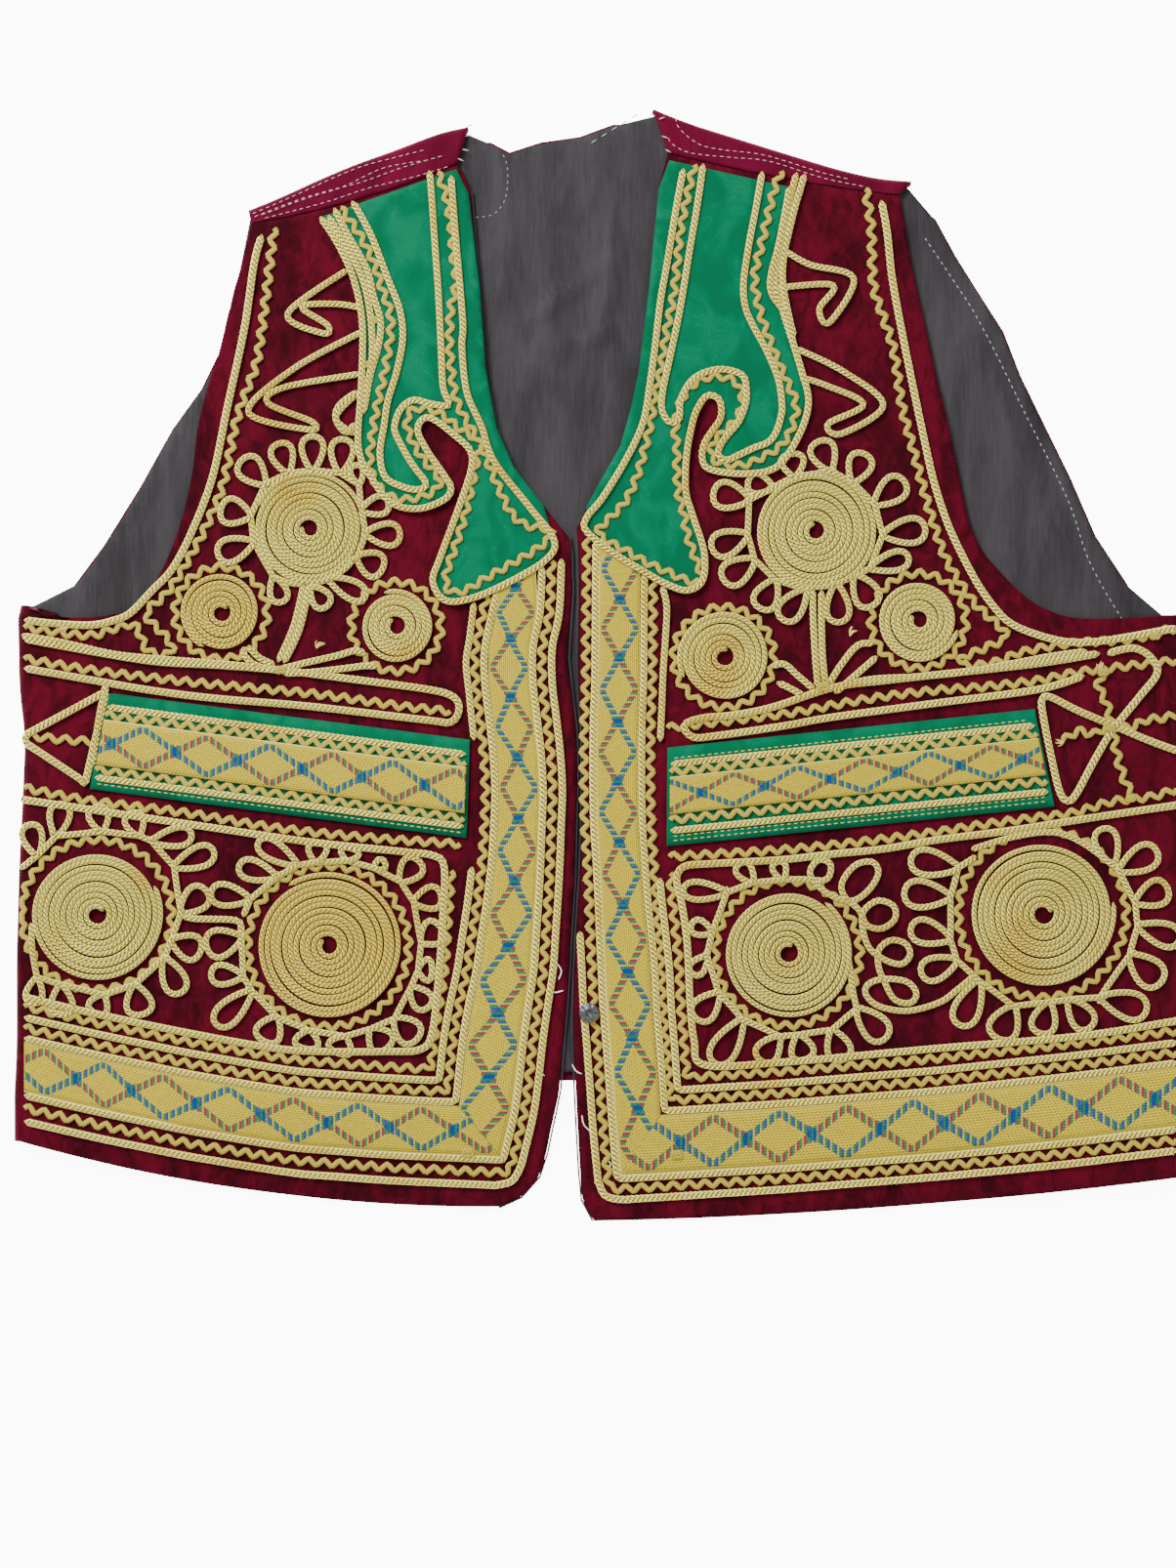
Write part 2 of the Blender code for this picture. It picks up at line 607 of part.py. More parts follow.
def lining_edge(name, rows, sign, finish):
    """The narrow rim of lining that shows beyond a front's neck and centre edge."""
    section = [
        (SEAM_GAP, -FRONT_THICK), (SEAM_GAP + EDGE_WIDTH, -FRONT_THICK),
        (SEAM_GAP + EDGE_WIDTH, EDGE_HEIGHT - FRONT_THICK), (SEAM_GAP, EDGE_HEIGHT - FRONT_THICK),
    ]
    path = [(row["inner_x"], row["inner_y"]) for row in rows[1:]]
    if sign > 0:
        section = [(-across, up) for across, up in reversed(section)]
    return sweep(name, path, section, finish)


def strip_stations(rows, table, sign):
    """For each station of a shoulder strip: seam point, fold point and unit vector between them."""
    stations = []
    for line in table:
        line = dict(zip(STRIP_COLUMNS, line))
        x, y = row_point(rows[0], line["share"], sign)
        y += STRIP_SEAM
        dx, dy = line["fold_x"] - x, line["fold_y"] - y
        size = math.hypot(dx, dy)
        stations.append((x, y, line["fold_x"], line["fold_y"], (dx / size, dy / size)))
    return stations


def shoulder_strip(name, rows, table, sign, finish):
    points = []
    for x, y, fold_x, fold_y, (ux, uy) in strip_stations(rows, table, sign):
        start_x, start_y = fold_x - ux * STRIP_RADIUS, fold_y - uy * STRIP_RADIUS
        points.append((x, y, FRONT_TOP))
        points.append((start_x, start_y, FRONT_TOP))
        for angle in STRIP_ANGLES:
            turn = math.radians(angle)
            reach = STRIP_RADIUS * math.sin(turn)
            up = STRIP_RADIUS * (1 + math.cos(turn))
            points.append((start_x + ux * reach, start_y + uy * reach, up))
        points.append((start_x - ux * STRIP_TAIL, start_y - uy * STRIP_TAIL, 0))
    across = len(STRIP_ANGLES) + 3
    faces = []
    for i in range(len(table) - 1):
        for k in range(across - 1):
            a = i * across + k
            face = (a, a + across, a + across + 1, a + 1)
            faces.append(face if sign > 0 else face[::-1])
    made = new_object(name, points, faces, finish, closed=False)
    solidify(made, STRIP_THICK, -1)
    return made


def strip_line(rows, table, sign, inset):
    """A line that runs a distance in from a shoulder's top fold."""
    return [
        (fold_x - ux * inset, fold_y - uy * inset)
        for _, _, fold_x, fold_y, (ux, uy) in strip_stations(rows, table, sign)
    ]


def back_outline(strip_inset, side_inset, arm_inset, hem_lift):
    """The back's outline, clear of what folds round its shoulders and sides."""
    left_top = strip_line(LEFT, LEFT_STRIP, -1, strip_inset)
    right_top = strip_line(RIGHT, RIGHT_STRIP, 1, strip_inset)
    left_x, right_x = side_inset - SIDE_X, SIDE_X - side_inset
    hem = [(x, back_hem(x) + hem_lift) for x in (right_x, *BACK_HEM_STATIONS, left_x)]
    left_arm = [(x + arm_inset, y) for x, y in LEFT_ARM_EDGE]
    right_arm = [(x - arm_inset, y) for x, y in RIGHT_ARM_EDGE]
    neck = [(x, y - arm_inset) for x, y in NECK_EDGE]
    left_side = [(left_x, BACK_LEFT_TOP)]
    right_side = [(right_x, BACK_RIGHT_TOP)]
    return neck + right_top + right_arm + right_side + hem + left_side + left_arm[::-1] + left_top[::-1]


def trim_path(side, name):
    """One line of the trim: down the front to its corner, then along the hem."""
    trim = side["trims"][name]
    sign = side["sign"]

    def run_x(y):
        low, high = side["widens"]
        wide = ease((low - y) / (low - high))
        gap = trim["at_top"] + (trim["below"] - trim["at_top"]) * wide
        return value_at(side["edge_run"], y, 1, 0) + sign * gap

    def hem_y(x):
        return value_at(side["hem_run"], x, 0, 1) + trim["at_hem"]

    corner_x = side["edge_run"][-1][0] + sign * trim["below"]
    for _ in range(12):
        corner_y = hem_y(corner_x)
        corner_x = run_x(corner_y)
    levels = [y for y in side["levels"] if corner_y + CORNER_CLEAR < y < trim["start_y"]]
    down = [(run_x(y), y) for y in [trim["start_y"]] + levels]
    along = [(x, hem_y(x)) for x in side["stations"] if sign * (x - corner_x) > CORNER_CLEAR]
    return down, (corner_x, corner_y), along


def trim_cord(side, name, finish):
    """A trim cord with a rounded corner."""
    down, corner, along = trim_path(side, name)
    rounded = []
    for point in (down[-1], along[0]):
        share = CORNER_ROUND[name] / math.dist(point, corner)
        rounded.append(tuple(corner[k] + (point[k] - corner[k]) * share for k in (0, 1)))
    middle = tuple(0.25 * rounded[0][k] + 0.5 * corner[k] + 0.25 * rounded[1][k] for k in (0, 1))
    half = CORD_WIDTH / 2
    section = ((-half, LAY), (0, LAY + CORD_HEIGHT), (half, LAY))
    path = down + [rounded[0], middle, rounded[1]] + along
    return sweep(f"{name}_{side['name']}", path, section, finish)


def bands(side, finish):
    """The woven band down a front and along its hem, which meet in a mitre."""
    near_down, near_corner, near_along = trim_path(side, "band_near")
    far_down, far_corner, far_along = trim_path(side, "band_far")
    near_top, far_top = side["band_top"]

    def spread(start, run, end):
        whole = [start] + [point for point in run if point[1] < start[1] - CORNER_CLEAR] + [end]
        return resample(whole, BAND_STATIONS)

    gap = SEAM_GAP / 2
    near = spread(near_top, near_down, (near_corner[0], near_corner[1] + gap))
    far = spread(far_top, far_down, (far_corner[0], far_corner[1] + gap))
    ribbon(f"band_front_{side['name']}", near, far, BAND_LAY, BAND_THICK, finish)
    near = resample([(near_corner[0], near_corner[1] - gap)] + near_along, len(side["stations"]))
    far = resample([(far_corner[0], far_corner[1] - gap)] + far_along, len(side["stations"]))
    ribbon(f"band_hem_{side['name']}", near, far, BAND_LAY, BAND_THICK, finish)


def resample(points, count):
    """The same line with a given number of points, evenly spread along it."""
    lengths = [0.0]
    for a, b in zip(points, points[1:]):
        lengths.append(lengths[-1] + math.dist(a, b))
    found = []
    for i in range(count):
        want = lengths[-1] * i / (count - 1)
        k = next(n for n in range(1, len(points)) if want <= lengths[n] + 1e-9)
        share = (want - lengths[k - 1]) / (lengths[k] - lengths[k - 1])
        a, b = points[k - 1], points[k]
        found.append(tuple(a[m] + share * (b[m] - a[m]) for m in (0, 1)))
    return found


def turned(name, x, y, profile, around, finish, height):
    """A profile of (radius, up) points turned about an upright axis and laid on a surface."""
    points, rings = [], []
    for radius, up in profile:
        if radius == 0:
            rings.append([len(points)] * around)
            points.append((x, y, height(x, y) + up))
            continue
        rings.append([len(points) + k for k in range(around)])
        for k in range(around):
            turn = 2 * math.pi * k / around
            px, py = x + radius * math.cos(turn), y + radius * math.sin(turn)
            points.append((px, py, height(px, py) + up))
    faces = []
    for upper, lower in zip(rings, rings[1:]):
        for k in range(around):
            m = (k + 1) % around
            corners = [upper[k], lower[k], lower[m], upper[m]]
            faces.append([c for i, c in enumerate(corners) if c != corners[i - 1]])
    return new_object(name, points, faces, finish)


def rosette(row, finish):
    """A flat coil of cord as a disc with a ridge for every second turn."""
    row = dict(zip(ROSETTE_COLUMNS, row))
    pitch = row["radius"] / row["coils"]
    profile = [(0, LAY + DISC_MIDDLE)]
    for coil in range(row["coils"]):
        profile.append(((coil + CREST_SHARE) * pitch, LAY + DISC_CREST))
        profile.append(((coil + 1) * pitch, LAY + (DISC_VALLEY if coil < row["coils"] - 1 else DISC_EDGE)))
    profile += [(row["radius"], LAY)]
    profile += [(row["radius"] * share, LAY) for share in DISC_UNDER]
    profile += [(0, LAY)]
    return turned(row["name"], row["x"], row["y"], profile, row["around"], finish, top)


def petals(row, finish):
    """One cord that runs round a rosette and throws out a loop at each petal."""
    row = dict(zip(PETAL_COLUMNS, row))
    reaches = row["reaches"]
    weights = [PETAL_WIDTH + PETAL_WIDENS * reach for reach in reaches]
    total = sum(weights)
    path = []
    angle = row["start"]
    for reach, weight in zip(reaches, weights):
        pitch = row["sweep"] * weight / total
        middle = angle + pitch / 2
        angle += pitch
        for offset, out in (
            (-PETAL_NECK, 0), (-PETAL_BELLY, PETAL_SHOULDER), (0, 1),
            (PETAL_BELLY, PETAL_SHOULDER), (PETAL_NECK, 0),
        ):
            turn = math.radians(middle + offset * pitch)
            radius = row["ring"] + out * reach
            path.append((row["x"] + radius * math.cos(turn), row["y"] + radius * math.sin(turn)))
    section = ((-PETAL_HALF, LAY), (0, LAY + CORD_HEIGHT), (PETAL_HALF, LAY))
    return sweep(row["name"], path, section, finish)


def lapel(side, finish, cord_finish):
    """Green velvet under its cord: out to the neck edge, and just inside the cord elsewhere."""
    name = f"lapel_{side['name']}"
    plate(name, side["lapel_cloth"], LAY, APPLIQUE_THICK, finish)
    base = LAY + APPLIQUE_THICK + SEAM_GAP
    half = CORD_WIDTH / 2
    section = ((-half, base), (0, base + CORD_HEIGHT), (half, base))
    return sweep(f"lapel_cord_{side['name']}", side["lapel"], section, cord_finish)


def lapel_cloth(loop, neck, inset):
    """The lapel's outline: its cord line round the outside, then the neck edge."""
    return list(loop) + [(x + inset, y) for x, y in neck]


def pocket(side, cloth, woven):
    """A pocket flap and the piece of woven band along it."""
    name = side["name"]
    a, b, c, d = side["pocket"]

    def across(share, end):
        left = [a[k] + (d[k] - a[k]) * share for k in (0, 1)]
        right = [b[k] + (c[k] - b[k]) * share for k in (0, 1)]
        return resample([(left[0] + end, left[1]), (right[0] - end, right[1])], POCKET_STATIONS)

    ribbon(f"pocket_{name}", across(0, 0), across(1, 0), LAY, APPLIQUE_THICK, cloth, lanes=3)
    upper, lower = (across(share, POCKET_END) for share in POCKET_BAND)
    base = LAY + APPLIQUE_THICK + SEAM_GAP
    return ribbon(f"pocket_band_{name}", upper, lower, base, BAND_THICK, woven, lanes=1)


def snap(finish):
    """The half of a press snap that shows: a flanged cap with a socket in its middle."""
    base = LAY + CORD_HEIGHT + SEAM_GAP
    floor = base + SNAP_FLANGE
    profile = (
        (0, floor), (SNAP_SOCKET - SNAP_LIP / 2, floor), (SNAP_SOCKET, base + SNAP_HEIGHT),
        (SNAP_SOCKET + SNAP_LIP, base + SNAP_HEIGHT), (SNAP_RADIUS - SNAP_LIP, floor + SNAP_LIP / 2),
        (SNAP_RADIUS, floor), (SNAP_RADIUS, base), (0, base),
    )
    level = top(SNAP_X, SNAP_Y)
    return turned("press_snap", SNAP_X, SNAP_Y, profile, SNAP_AROUND, finish, lambda x, y: level)


for leftover in list(bpy.data.objects):
    bpy.data.objects.remove(leftover, do_unlink=True)
collection = bpy.data.collections.new("waistcoat")
bpy.context.scene.collection.children.link(collection)

velvet = material("burgundy_velvet", (0.13, 0.006, 0.022), 0.85)
cotton = material("burgundy_cotton", (0.24, 0.014, 0.05), 0.8)
lining_cloth = material("charcoal_cotton", (0.07, 0.065, 0.07), 0.85)
green = material("green_velvet", (0.002, 0.26, 0.12), 0.8)
gold_cord = material("gold_cord", (0.72, 0.6, 0.24), 0.5)
woven_band = material("woven_gold_band", (0.62, 0.42, 0.14), 0.55)
steel = material("grey_metal", (0.18, 0.18, 0.2), 0.35, 1.0)

LEFT = [dict(zip(ROW_COLUMNS, row)) for row in LEFT_ROWS]
RIGHT = [dict(zip(ROW_COLUMNS, row)) for row in RIGHT_ROWS]
LEVELS = [24 - LEVEL_STEP * k for k in range(18)]
SIDES = (
    {
        "name": "left", "sign": -1, "rows": LEFT, "strip": LEFT_STRIP,
        "trims": {row[0]: dict(zip(TRIM_COLUMNS, row)) for row in LEFT_TRIMS},
        "edge_run": LEFT_EDGE_RUN, "hem_run": LEFT_HEM_RUN,
        "widens": LEFT_WIDENS, "band_top": LEFT_BAND_TOP,
        "levels": LEVELS,
        "stations": [-50 - STATION_STEP * k for k in range(13)], "lapel": LEFT_LAPEL,
        "pocket": LEFT_POCKET,
        "lapel_cloth": lapel_cloth(LEFT_LAPEL[:26], LEFT_LAPEL_NECK, -LAPEL_INSET),
    },
    {
        "name": "right", "sign": 1, "rows": RIGHT, "strip": RIGHT_STRIP,
        "trims": {row[0]: dict(zip(TRIM_COLUMNS, row)) for row in RIGHT_TRIMS},
        "edge_run": RIGHT_EDGE_RUN, "hem_run": RIGHT_HEM_RUN,
        "widens": RIGHT_WIDENS, "band_top": RIGHT_BAND_TOP,
        "levels": LEVELS,
        "stations": [16 + STATION_STEP * k for k in range(15)], "lapel": RIGHT_LAPEL,
        "pocket": RIGHT_POCKET,
        "lapel_cloth": lapel_cloth(RIGHT_LAPEL[10:], RIGHT_LAPEL_NECK, LAPEL_INSET),
    },
)

outline = back_outline(STRIP_RADIUS + STRIP_TAIL + SEAM_GAP, FOLD_TAIL + TAIL_CLEAR, 0, 0)
plate("back_panel", outline, 0, BACK_THICK, cotton, height=flat)
outline = back_outline(STRIP_RADIUS + LINING_CLEAR, FOLD_RADIUS + LINING_SIDE, LINING_ARM, LINING_HEM)
plate("back_lining", outline, LINING_BASE, LINING_THICK, lining_cloth, height=flat)

for side in SIDES:
    label = side["name"]
    front(f"front_{label}", side["rows"], side["sign"], velvet)
    lining_edge(f"lining_edge_{label}", side["rows"], side["sign"], lining_cloth)
    shoulder_strip(f"shoulder_{label}", side["rows"], side["strip"], side["sign"], cotton)
    lapel(side, green, gold_cord)
    bands(side, woven_band)
    pocket(side, green, woven_band)
    for trim in ("edge_cord", "band_cord", "inner_cord", "frame_cord"):
        trim_cord(side, trim, gold_cord)
    cord(f"armhole_cord_{label}", ARMHOLE_CORDS[label], gold_cord)
    cord(f"pocket_cord_{label}", POCKET_CORDS[label], gold_cord)
    cord(f"panel_cord_{label}", PANEL_CORDS[label], gold_cord)
    cord(f"side_motif_{label}", SIDE_MOTIFS[label], gold_cord, step=20, closed=True)
    cord(f"stem_{label}", STEMS[label], gold_cord, width=STEM_WIDTH)

for label, route in SQUIGGLES.items():
    cord(f"squiggle_{label}", route, gold_cord, step=12)
for row in ROSETTES:
    rosette(row, gold_cord)
for row in PETALS:
    petals(row, gold_cord)
snap(steel)
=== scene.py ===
import math

import bpy
import numpy as np
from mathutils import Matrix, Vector
from mathutils.geometry import delaunay_2d_cdt


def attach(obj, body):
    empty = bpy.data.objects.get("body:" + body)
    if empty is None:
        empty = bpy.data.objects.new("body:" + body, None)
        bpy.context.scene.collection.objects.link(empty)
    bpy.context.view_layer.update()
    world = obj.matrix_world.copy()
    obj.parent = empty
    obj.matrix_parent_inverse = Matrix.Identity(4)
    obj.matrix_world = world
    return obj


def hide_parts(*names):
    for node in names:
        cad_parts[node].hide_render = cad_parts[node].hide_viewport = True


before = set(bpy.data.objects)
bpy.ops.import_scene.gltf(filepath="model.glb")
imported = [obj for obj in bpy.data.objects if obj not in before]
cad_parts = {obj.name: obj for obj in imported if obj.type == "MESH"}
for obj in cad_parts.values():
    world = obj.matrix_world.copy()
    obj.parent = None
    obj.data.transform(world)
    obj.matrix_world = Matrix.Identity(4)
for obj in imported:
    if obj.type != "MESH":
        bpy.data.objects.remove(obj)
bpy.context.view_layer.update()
MM = 0.001
rng = np.random.default_rng(7)

# Layers, measured up from the table
SEAM_GAP = 0.3
LINING_BASE = 2.3
LINING_THICK = 1.0
FRONT_BASE = 3.6
FRONT_THICK = 2.0
FRONT_TOP = FRONT_BASE + FRONT_THICK
STRIP_THICK = 1.6

# Side folds, where each front turns under and meets the back
SIDE_X = 262.0
FOLD_RADIUS = 3.4
FOLD_TAIL = 18.0
FOLD_BULGE = 1.0
BULGE_NEAR, BULGE_FAR = 4.0, 40.0

# Below the back's hem the fronts sink to the table
BACK_HEM_MIDDLE = -186.0
BACK_HEM_SWEEP = 19.0
BACK_HEM_HALF = 245.0
SINK_START = 2.0
SINK_LENGTH = 48.0
SINK_SIDE_NEAR, SINK_SIDE_FAR = 22.0, 130.0

# How far the back and its lining stay clear of the folds round them
LINING_CLEAR = 0.5
LINING_SIDE = 3.5
LINING_ARM = 1.2
LINING_HEM = 4.0
BACK_HEM_STATIONS = (160, 80, 0, -80, -160)
BACK_LEFT_TOP, BACK_RIGHT_TOP = 26.5, 20.0

# What is sewn on top
LAY = 0.45
APPLIQUE_THICK = 1.0
BAND_THICK = 1.2
CORD_HEIGHT = 2.0

# Broad soft ridges in the fronts
FOLD_COLUMNS = ("x", "y", "turn", "length", "width", "height")
FOLDS = (
    (-205, -95, 70, 150, 96, 0.9),
    (-150, -185, 15, 170, 70, 0.7),
    (-60, -140, 85, 170, 72, 0.7),
    (200, -90, 112, 150, 96, 0.9),
    (150, -190, 168, 170, 70, 0.7),
    (50, -150, 92, 160, 72, 0.7),
    (-215, 5, 160, 100, 70, 0.6),
    (215, 0, 20, 100, 70, 0.6),
)

# One row for each section of a front: its ends at the centre or neck and at the armhole
# or side fold, how far its middle hangs below the straight line, and whether it turns under
ROW_COLUMNS = ("inner_x", "inner_y", "outer_x", "outer_y", "bow", "folded")
LEFT_ROWS = (
    (-64.0, 224.5, -156.5, 198.0, 3.2, 0), (-58.5, 212.5, -159.0, 187.0, 1.5, 0),
    (-56.5, 190.0, -162.5, 172.0, 0, 0), (-54.5, 168.5, -167.0, 157.0, 0, 0),
    (-53.3, 150.0, -170.5, 142.0, 0, 0), (-52.0, 133.0, -176.0, 124.5, 0, 0),
    (-47.0, 106.5, -180.5, 106.5, 0, 0), (-39.5, 89.0, -182.5, 89.0, 0, 0),
    (-32.0, 79.0, -186.0, 71.5, 0, 0), (-23.0, 68.0, -191.5, 54.0, 0, 0), (-14.5, 57.5, -200.0, 36.5, 0, 0),
    (-13.5, 50.0, -209.0, 26.5, 0, 0), (-13.4, 45.5, -218.0, 23.0, 1, 0), (-13.3, 41.0, -232.0, 21.5, 5, 0),
    (-13.1, 37.5, -246.0, 22.3, 12, 0), (-13.0, 33.0, -260.0, 27.0, 26, 1), (-15.0, 4.0, -261.0, 5.0, 9, 1),
    (-13.5, -10.0, -260.5, -12.0, 4, 1), (-11.2, -30.0, -258.5, -32.0, 2, 1),
    (-10.8, -51.5, -259.0, -51.5, 0, 1), (-11.5, -73.0, -260.0, -73.0, 0, 1),
    (-12.0, -95.5, -261.0, -94.0, 0, 1), (-13.5, -117.0, -261.5, -113.0, 0, 1),
    (-14.6, -138.0, -262.0, -132.0, 0, 1), (-16.0, -157.5, -262.0, -149.0, 0, 1),
    (-17.5, -174.0, -262.0, -163.0, 1, 1), (-18.5, -189.5, -262.2, -175.0, 2, 1),
    (-20.5, -200.0, -262.6, -184.0, 3, 1), (-22.5, -209.0, -263.0, -192.0, 4, 1),
    (-24.5, -219.0, -263.0, -200.0, 5, 1), (-28.0, -229.5, -263.0, -206.0, 6, 1),
    (-36.0, -238.5, -263.0, -210.0, 7, 1), (-46.0, -243.0, -263.0, -213.0, 8, 1),
)
RIGHT_ROWS = (
    (30.0, 229.5, 134.0, 210.5, 2, 0), (26.3, 214.0, 136.5, 195.0, 1, 0), (24.3, 192.0, 139.5, 178.0, 0, 0),
    (22.0, 168.5, 143.5, 160.0, 0, 0), (19.5, 148.0, 148.0, 139.5, 0, 0), (17.3, 131.0, 151.5, 124.0, 0, 0),
    (14.0, 115.5, 155.0, 110.0, 0, 0), (9.0, 98.0, 158.0, 96.0, 0, 0), (0.5, 83.0, 161.0, 82.0, 0, 0),
    (-6.0, 71.0, 164.5, 66.0, 0, 0), (-10.5, 61.5, 170.5, 52.0, 0, 0), (-9.9, 54.0, 177.5, 43.5, 0, 0),
    (-9.7, 48.0, 184.0, 36.5, 0, 0), (-9.6, 43.0, 192.0, 29.5, 0, 0), (-9.5, 39.0, 200.0, 25.0, 1, 0),
    (-9.5, 35.5, 208.5, 22.0, 3, 0), (-9.5, 32.0, 219.0, 21.0, 6, 0), (-9.5, 28.5, 238.0, 21.5, 11, 0),
    (-9.6, 25.0, 262.8, 23.0, 24, 1), (-9.8, 2.0, 262.8, 3.0, 10, 1), (-9.5, -12.0, 262.5, -12.0, 5, 1),
    (-8.2, -30.0, 262.5, -32.0, 2, 1), (-8.0, -51.5, 262.8, -51.5, 0, 1), (-8.4, -73.0, 263.0, -73.0, 0, 1),
    (-9.2, -95.5, 263.0, -95.0, 0, 1), (-10.6, -117.0, 263.0, -115.0, 0, 1),
    (-11.7, -138.0, 263.0, -135.0, 0, 1), (-12.2, -157.5, 263.0, -153.0, 0, 1),
    (-11.8, -174.0, 263.0, -168.0, 0, 1), (-11.2, -189.0, 263.0, -181.0, 1, 1),
    (-10.6, -202.0, 263.0, -192.0, 2, 1), (-10.0, -214.0, 263.0, -202.0, 3, 1),
    (-9.2, -228.0, 263.0, -213.0, 3, 1), (-8.0, -240.0, 263.0, -222.0, 4, 1),
    (-3.0, -249.4, 263.0, -229.0, 4, 1),
)

# Top fold of each shoulder strip, neck first, at shares of the seam's length
STRIP_COLUMNS = ("share", "fold_x", "fold_y")
LEFT_STRIP = (
    (0.0, -59.5, 242.0), (0.15, -73.0, 238.8), (0.33, -93.0, 231.3), (0.5, -110.5, 225.0),
    (0.67, -127.0, 218.0), (0.84, -143.5, 210.5), (1.0, -158.0, 204.5),
)
RIGHT_STRIP = (
    (0.0, 23.5, 250.0), (0.17, 41.5, 243.0), (0.36, 67.0, 235.0), (0.55, 88.0, 228.5), (0.72, 106.5, 223.0),
    (0.87, 124.0, 219.0), (1.0, 139.5, 217.5),
)
STRIP_TAIL = 4.0
STRIP_RADIUS = FRONT_TOP / 2
STRIP_SEAM = 0.4

# The back's own edges, seen in the neck and in the armholes
NECK_EDGE = ((-49.5, 235.5), (-41, 231), (-27, 235.5), (-9.5, 238), (5.5, 243.5))
LEFT_ARM_EDGE = (
    (-165, 168.5), (-171, 142), (-179.5, 124.5), (-192.5, 106.5), (-207, 80.5), (-223.5, 54),
    (-236.5, 36.5),
)
RIGHT_ARM_EDGE = (
    (150.5, 201), (159.5, 184.5), (169.5, 168.5), (181, 150.5), (189, 130), (200, 107.5), (211.5, 84),
    (222.5, 58.5), (237, 36.5),
)

# Cord that outlines each green lapel: hooked outer end, slot, then pointed lower corner
LEFT_LAPEL = (
    (-125.4, 200.5), (-117.5, 188.5), (-110.4, 172.7), (-106.5, 152.9), (-106.9, 125.6), (-108.2, 97.5),
    (-102.1, 83.4), (-93.3, 72.5), (-81.4, 70), (-70, 74), (-66.8, 79), (-69.5, 84.3), (-77.9, 96.6),
    (-81.8, 105.8), (-76.6, 110.7), (-64.2, 101.9), (-58, 95.3), (-58.1, 86.5), (-64.2, 68.4),
    (-71.7, 48.2), (-75, 37.6), (-69.5, 29), (-57.6, 30), (-40.9, 37.2), (-24.5, 47.2), (-20.8, 56),
    (-31.7, 70.6), (-47.5, 90.9), (-53.2, 106.7), (-59.8, 122.1), (-62, 142.3), (-61.6, 153.8),
    (-64.7, 190.3), (-66.9, 219),
)
RIGHT_LAPEL = (
    (37, 222), (33.4, 202.6), (29.9, 181.1), (26.8, 163.5), (24.2, 141.9), (22, 126), (19, 108.9),
    (11.9, 93.1), (0.9, 75), (-6.2, 66.2), (-6.4, 60), (6.6, 49.6), (17.6, 42.9), (29, 36.5), (38.5, 33.5),
    (45.5, 38), (46.2, 50.4), (41.8, 64.9), (38.3, 75.9), (37.8, 84), (38.3, 93.5), (40, 104.1),
    (42.7, 113.7), (47.5, 120.5), (53, 118.5), (53.7, 111.1), (50.2, 105.4), (46.2, 99), (45.4, 92),
    (49, 87.5), (64.7, 85.6), (79, 89), (88.9, 103.6), (92.8, 117.5), (90.2, 130), (86.2, 143.2), (83, 156),
    (76.4, 166), (76, 174), (78.8, 185), (81.4, 197.3), (84.4, 214),
)
# The same lapels along the neck, where the velvet runs out to the edge
LEFT_LAPEL_NECK = (
    (-26, 71.5), (-39.5, 89), (-47, 106.5), (-52, 133), (-54.5, 168.5), (-59.5, 211), (-65, 222),
)
RIGHT_LAPEL_NECK = (
    (31, 226), (26.3, 213), (22, 168.5), (17.3, 131), (14, 115.5), (9, 98), (0.5, 83), (-6, 71),
)

# Woven band and cords along front and hem: where each starts, and its distances from the
# outermost cord
TRIM_COLUMNS = ("name", "start_y", "at_top", "below", "at_hem")
LEFT_TRIMS = (
    ("edge_cord", 36.5, 0.0, 0.0, 0.0),
    ("band_cord", 34.0, 8.6, 8.6, 11.6),
    ("band_near", 30.0, 10.9, 10.9, 13.9),
    ("band_far", 20.0, 27.8, 33.6, 34.8),
    ("inner_cord", 19.0, 30.1, 35.9, 37.1),
    ("frame_cord", -90.0, 38.6, 44.4, 46.4),
)
RIGHT_TRIMS = (
    ("edge_cord", -119.0, 0.0, 0.0, 0.0),
    ("band_cord", 48.0, 8.7, 8.7, 9.4),
    ("band_near", 44.0, 11.0, 11.0, 11.7),
    ("band_far", 33.0, 28.1, 30.3, 36.8),
    ("inner_cord", 36.0, 30.4, 32.6, 39.1),
    ("frame_cord", -95.0, 36.6, 39.2, 48.2),
)
# Heights between which each side's trims spread from at_top to below
LEFT_WIDENS = (-70.0, -170.0)
RIGHT_WIDENS = (-90.0, -140.0)

# The outermost cord, down the front and then along the hem
LEFT_EDGE_RUN = (
    (-18.0, 36.5), (-18.6, 22), (-22.5, 4), (-21.5, -10), (-18.5, -34), (-17.0, -51.5), (-18.5, -95.5),
    (-21.5, -139.5), (-25, -160), (-29, -196), (-33.5, -215.5), (-38, -232),
)
LEFT_HEM_RUN = (
    (-38, -233.5), (-94.5, -231), (-138.5, -227.5), (-182.5, -220), (-226.5, -211), (-256, -204),
)
RIGHT_EDGE_RUN = (
    (-11, 30), (-11.3, -7.5), (-12.1, -28), (-12.2, -52), (-11.6, -78.8), (-10.4, -91), (-9.3, -118.6),
    (-8.4, -137), (-7.6, -155), (-5.7, -175.6), (-4.4, -195), (-2.3, -220.6), (-1, -232),
)
RIGHT_HEM_RUN = ((-2, -240), (19.5, -239), (81.5, -235), (147.5, -229.5), (213.5, -222.5), (255, -217))
CORNER_CLEAR = 6.0
LEVEL_STEP = 16
STATION_STEP = 17
CORNER_ROUND = {"edge_cord": 9.0, "band_cord": 2.0, "inner_cord": 2.5, "frame_cord": 2.5}

# Where the bands start, under the lapels' lower edges, and the cords beside them
LEFT_BAND_TOP = ((-30, 37.5), (-46, 29))
RIGHT_BAND_TOP = ((-0.3, 50), (17.2, 39))

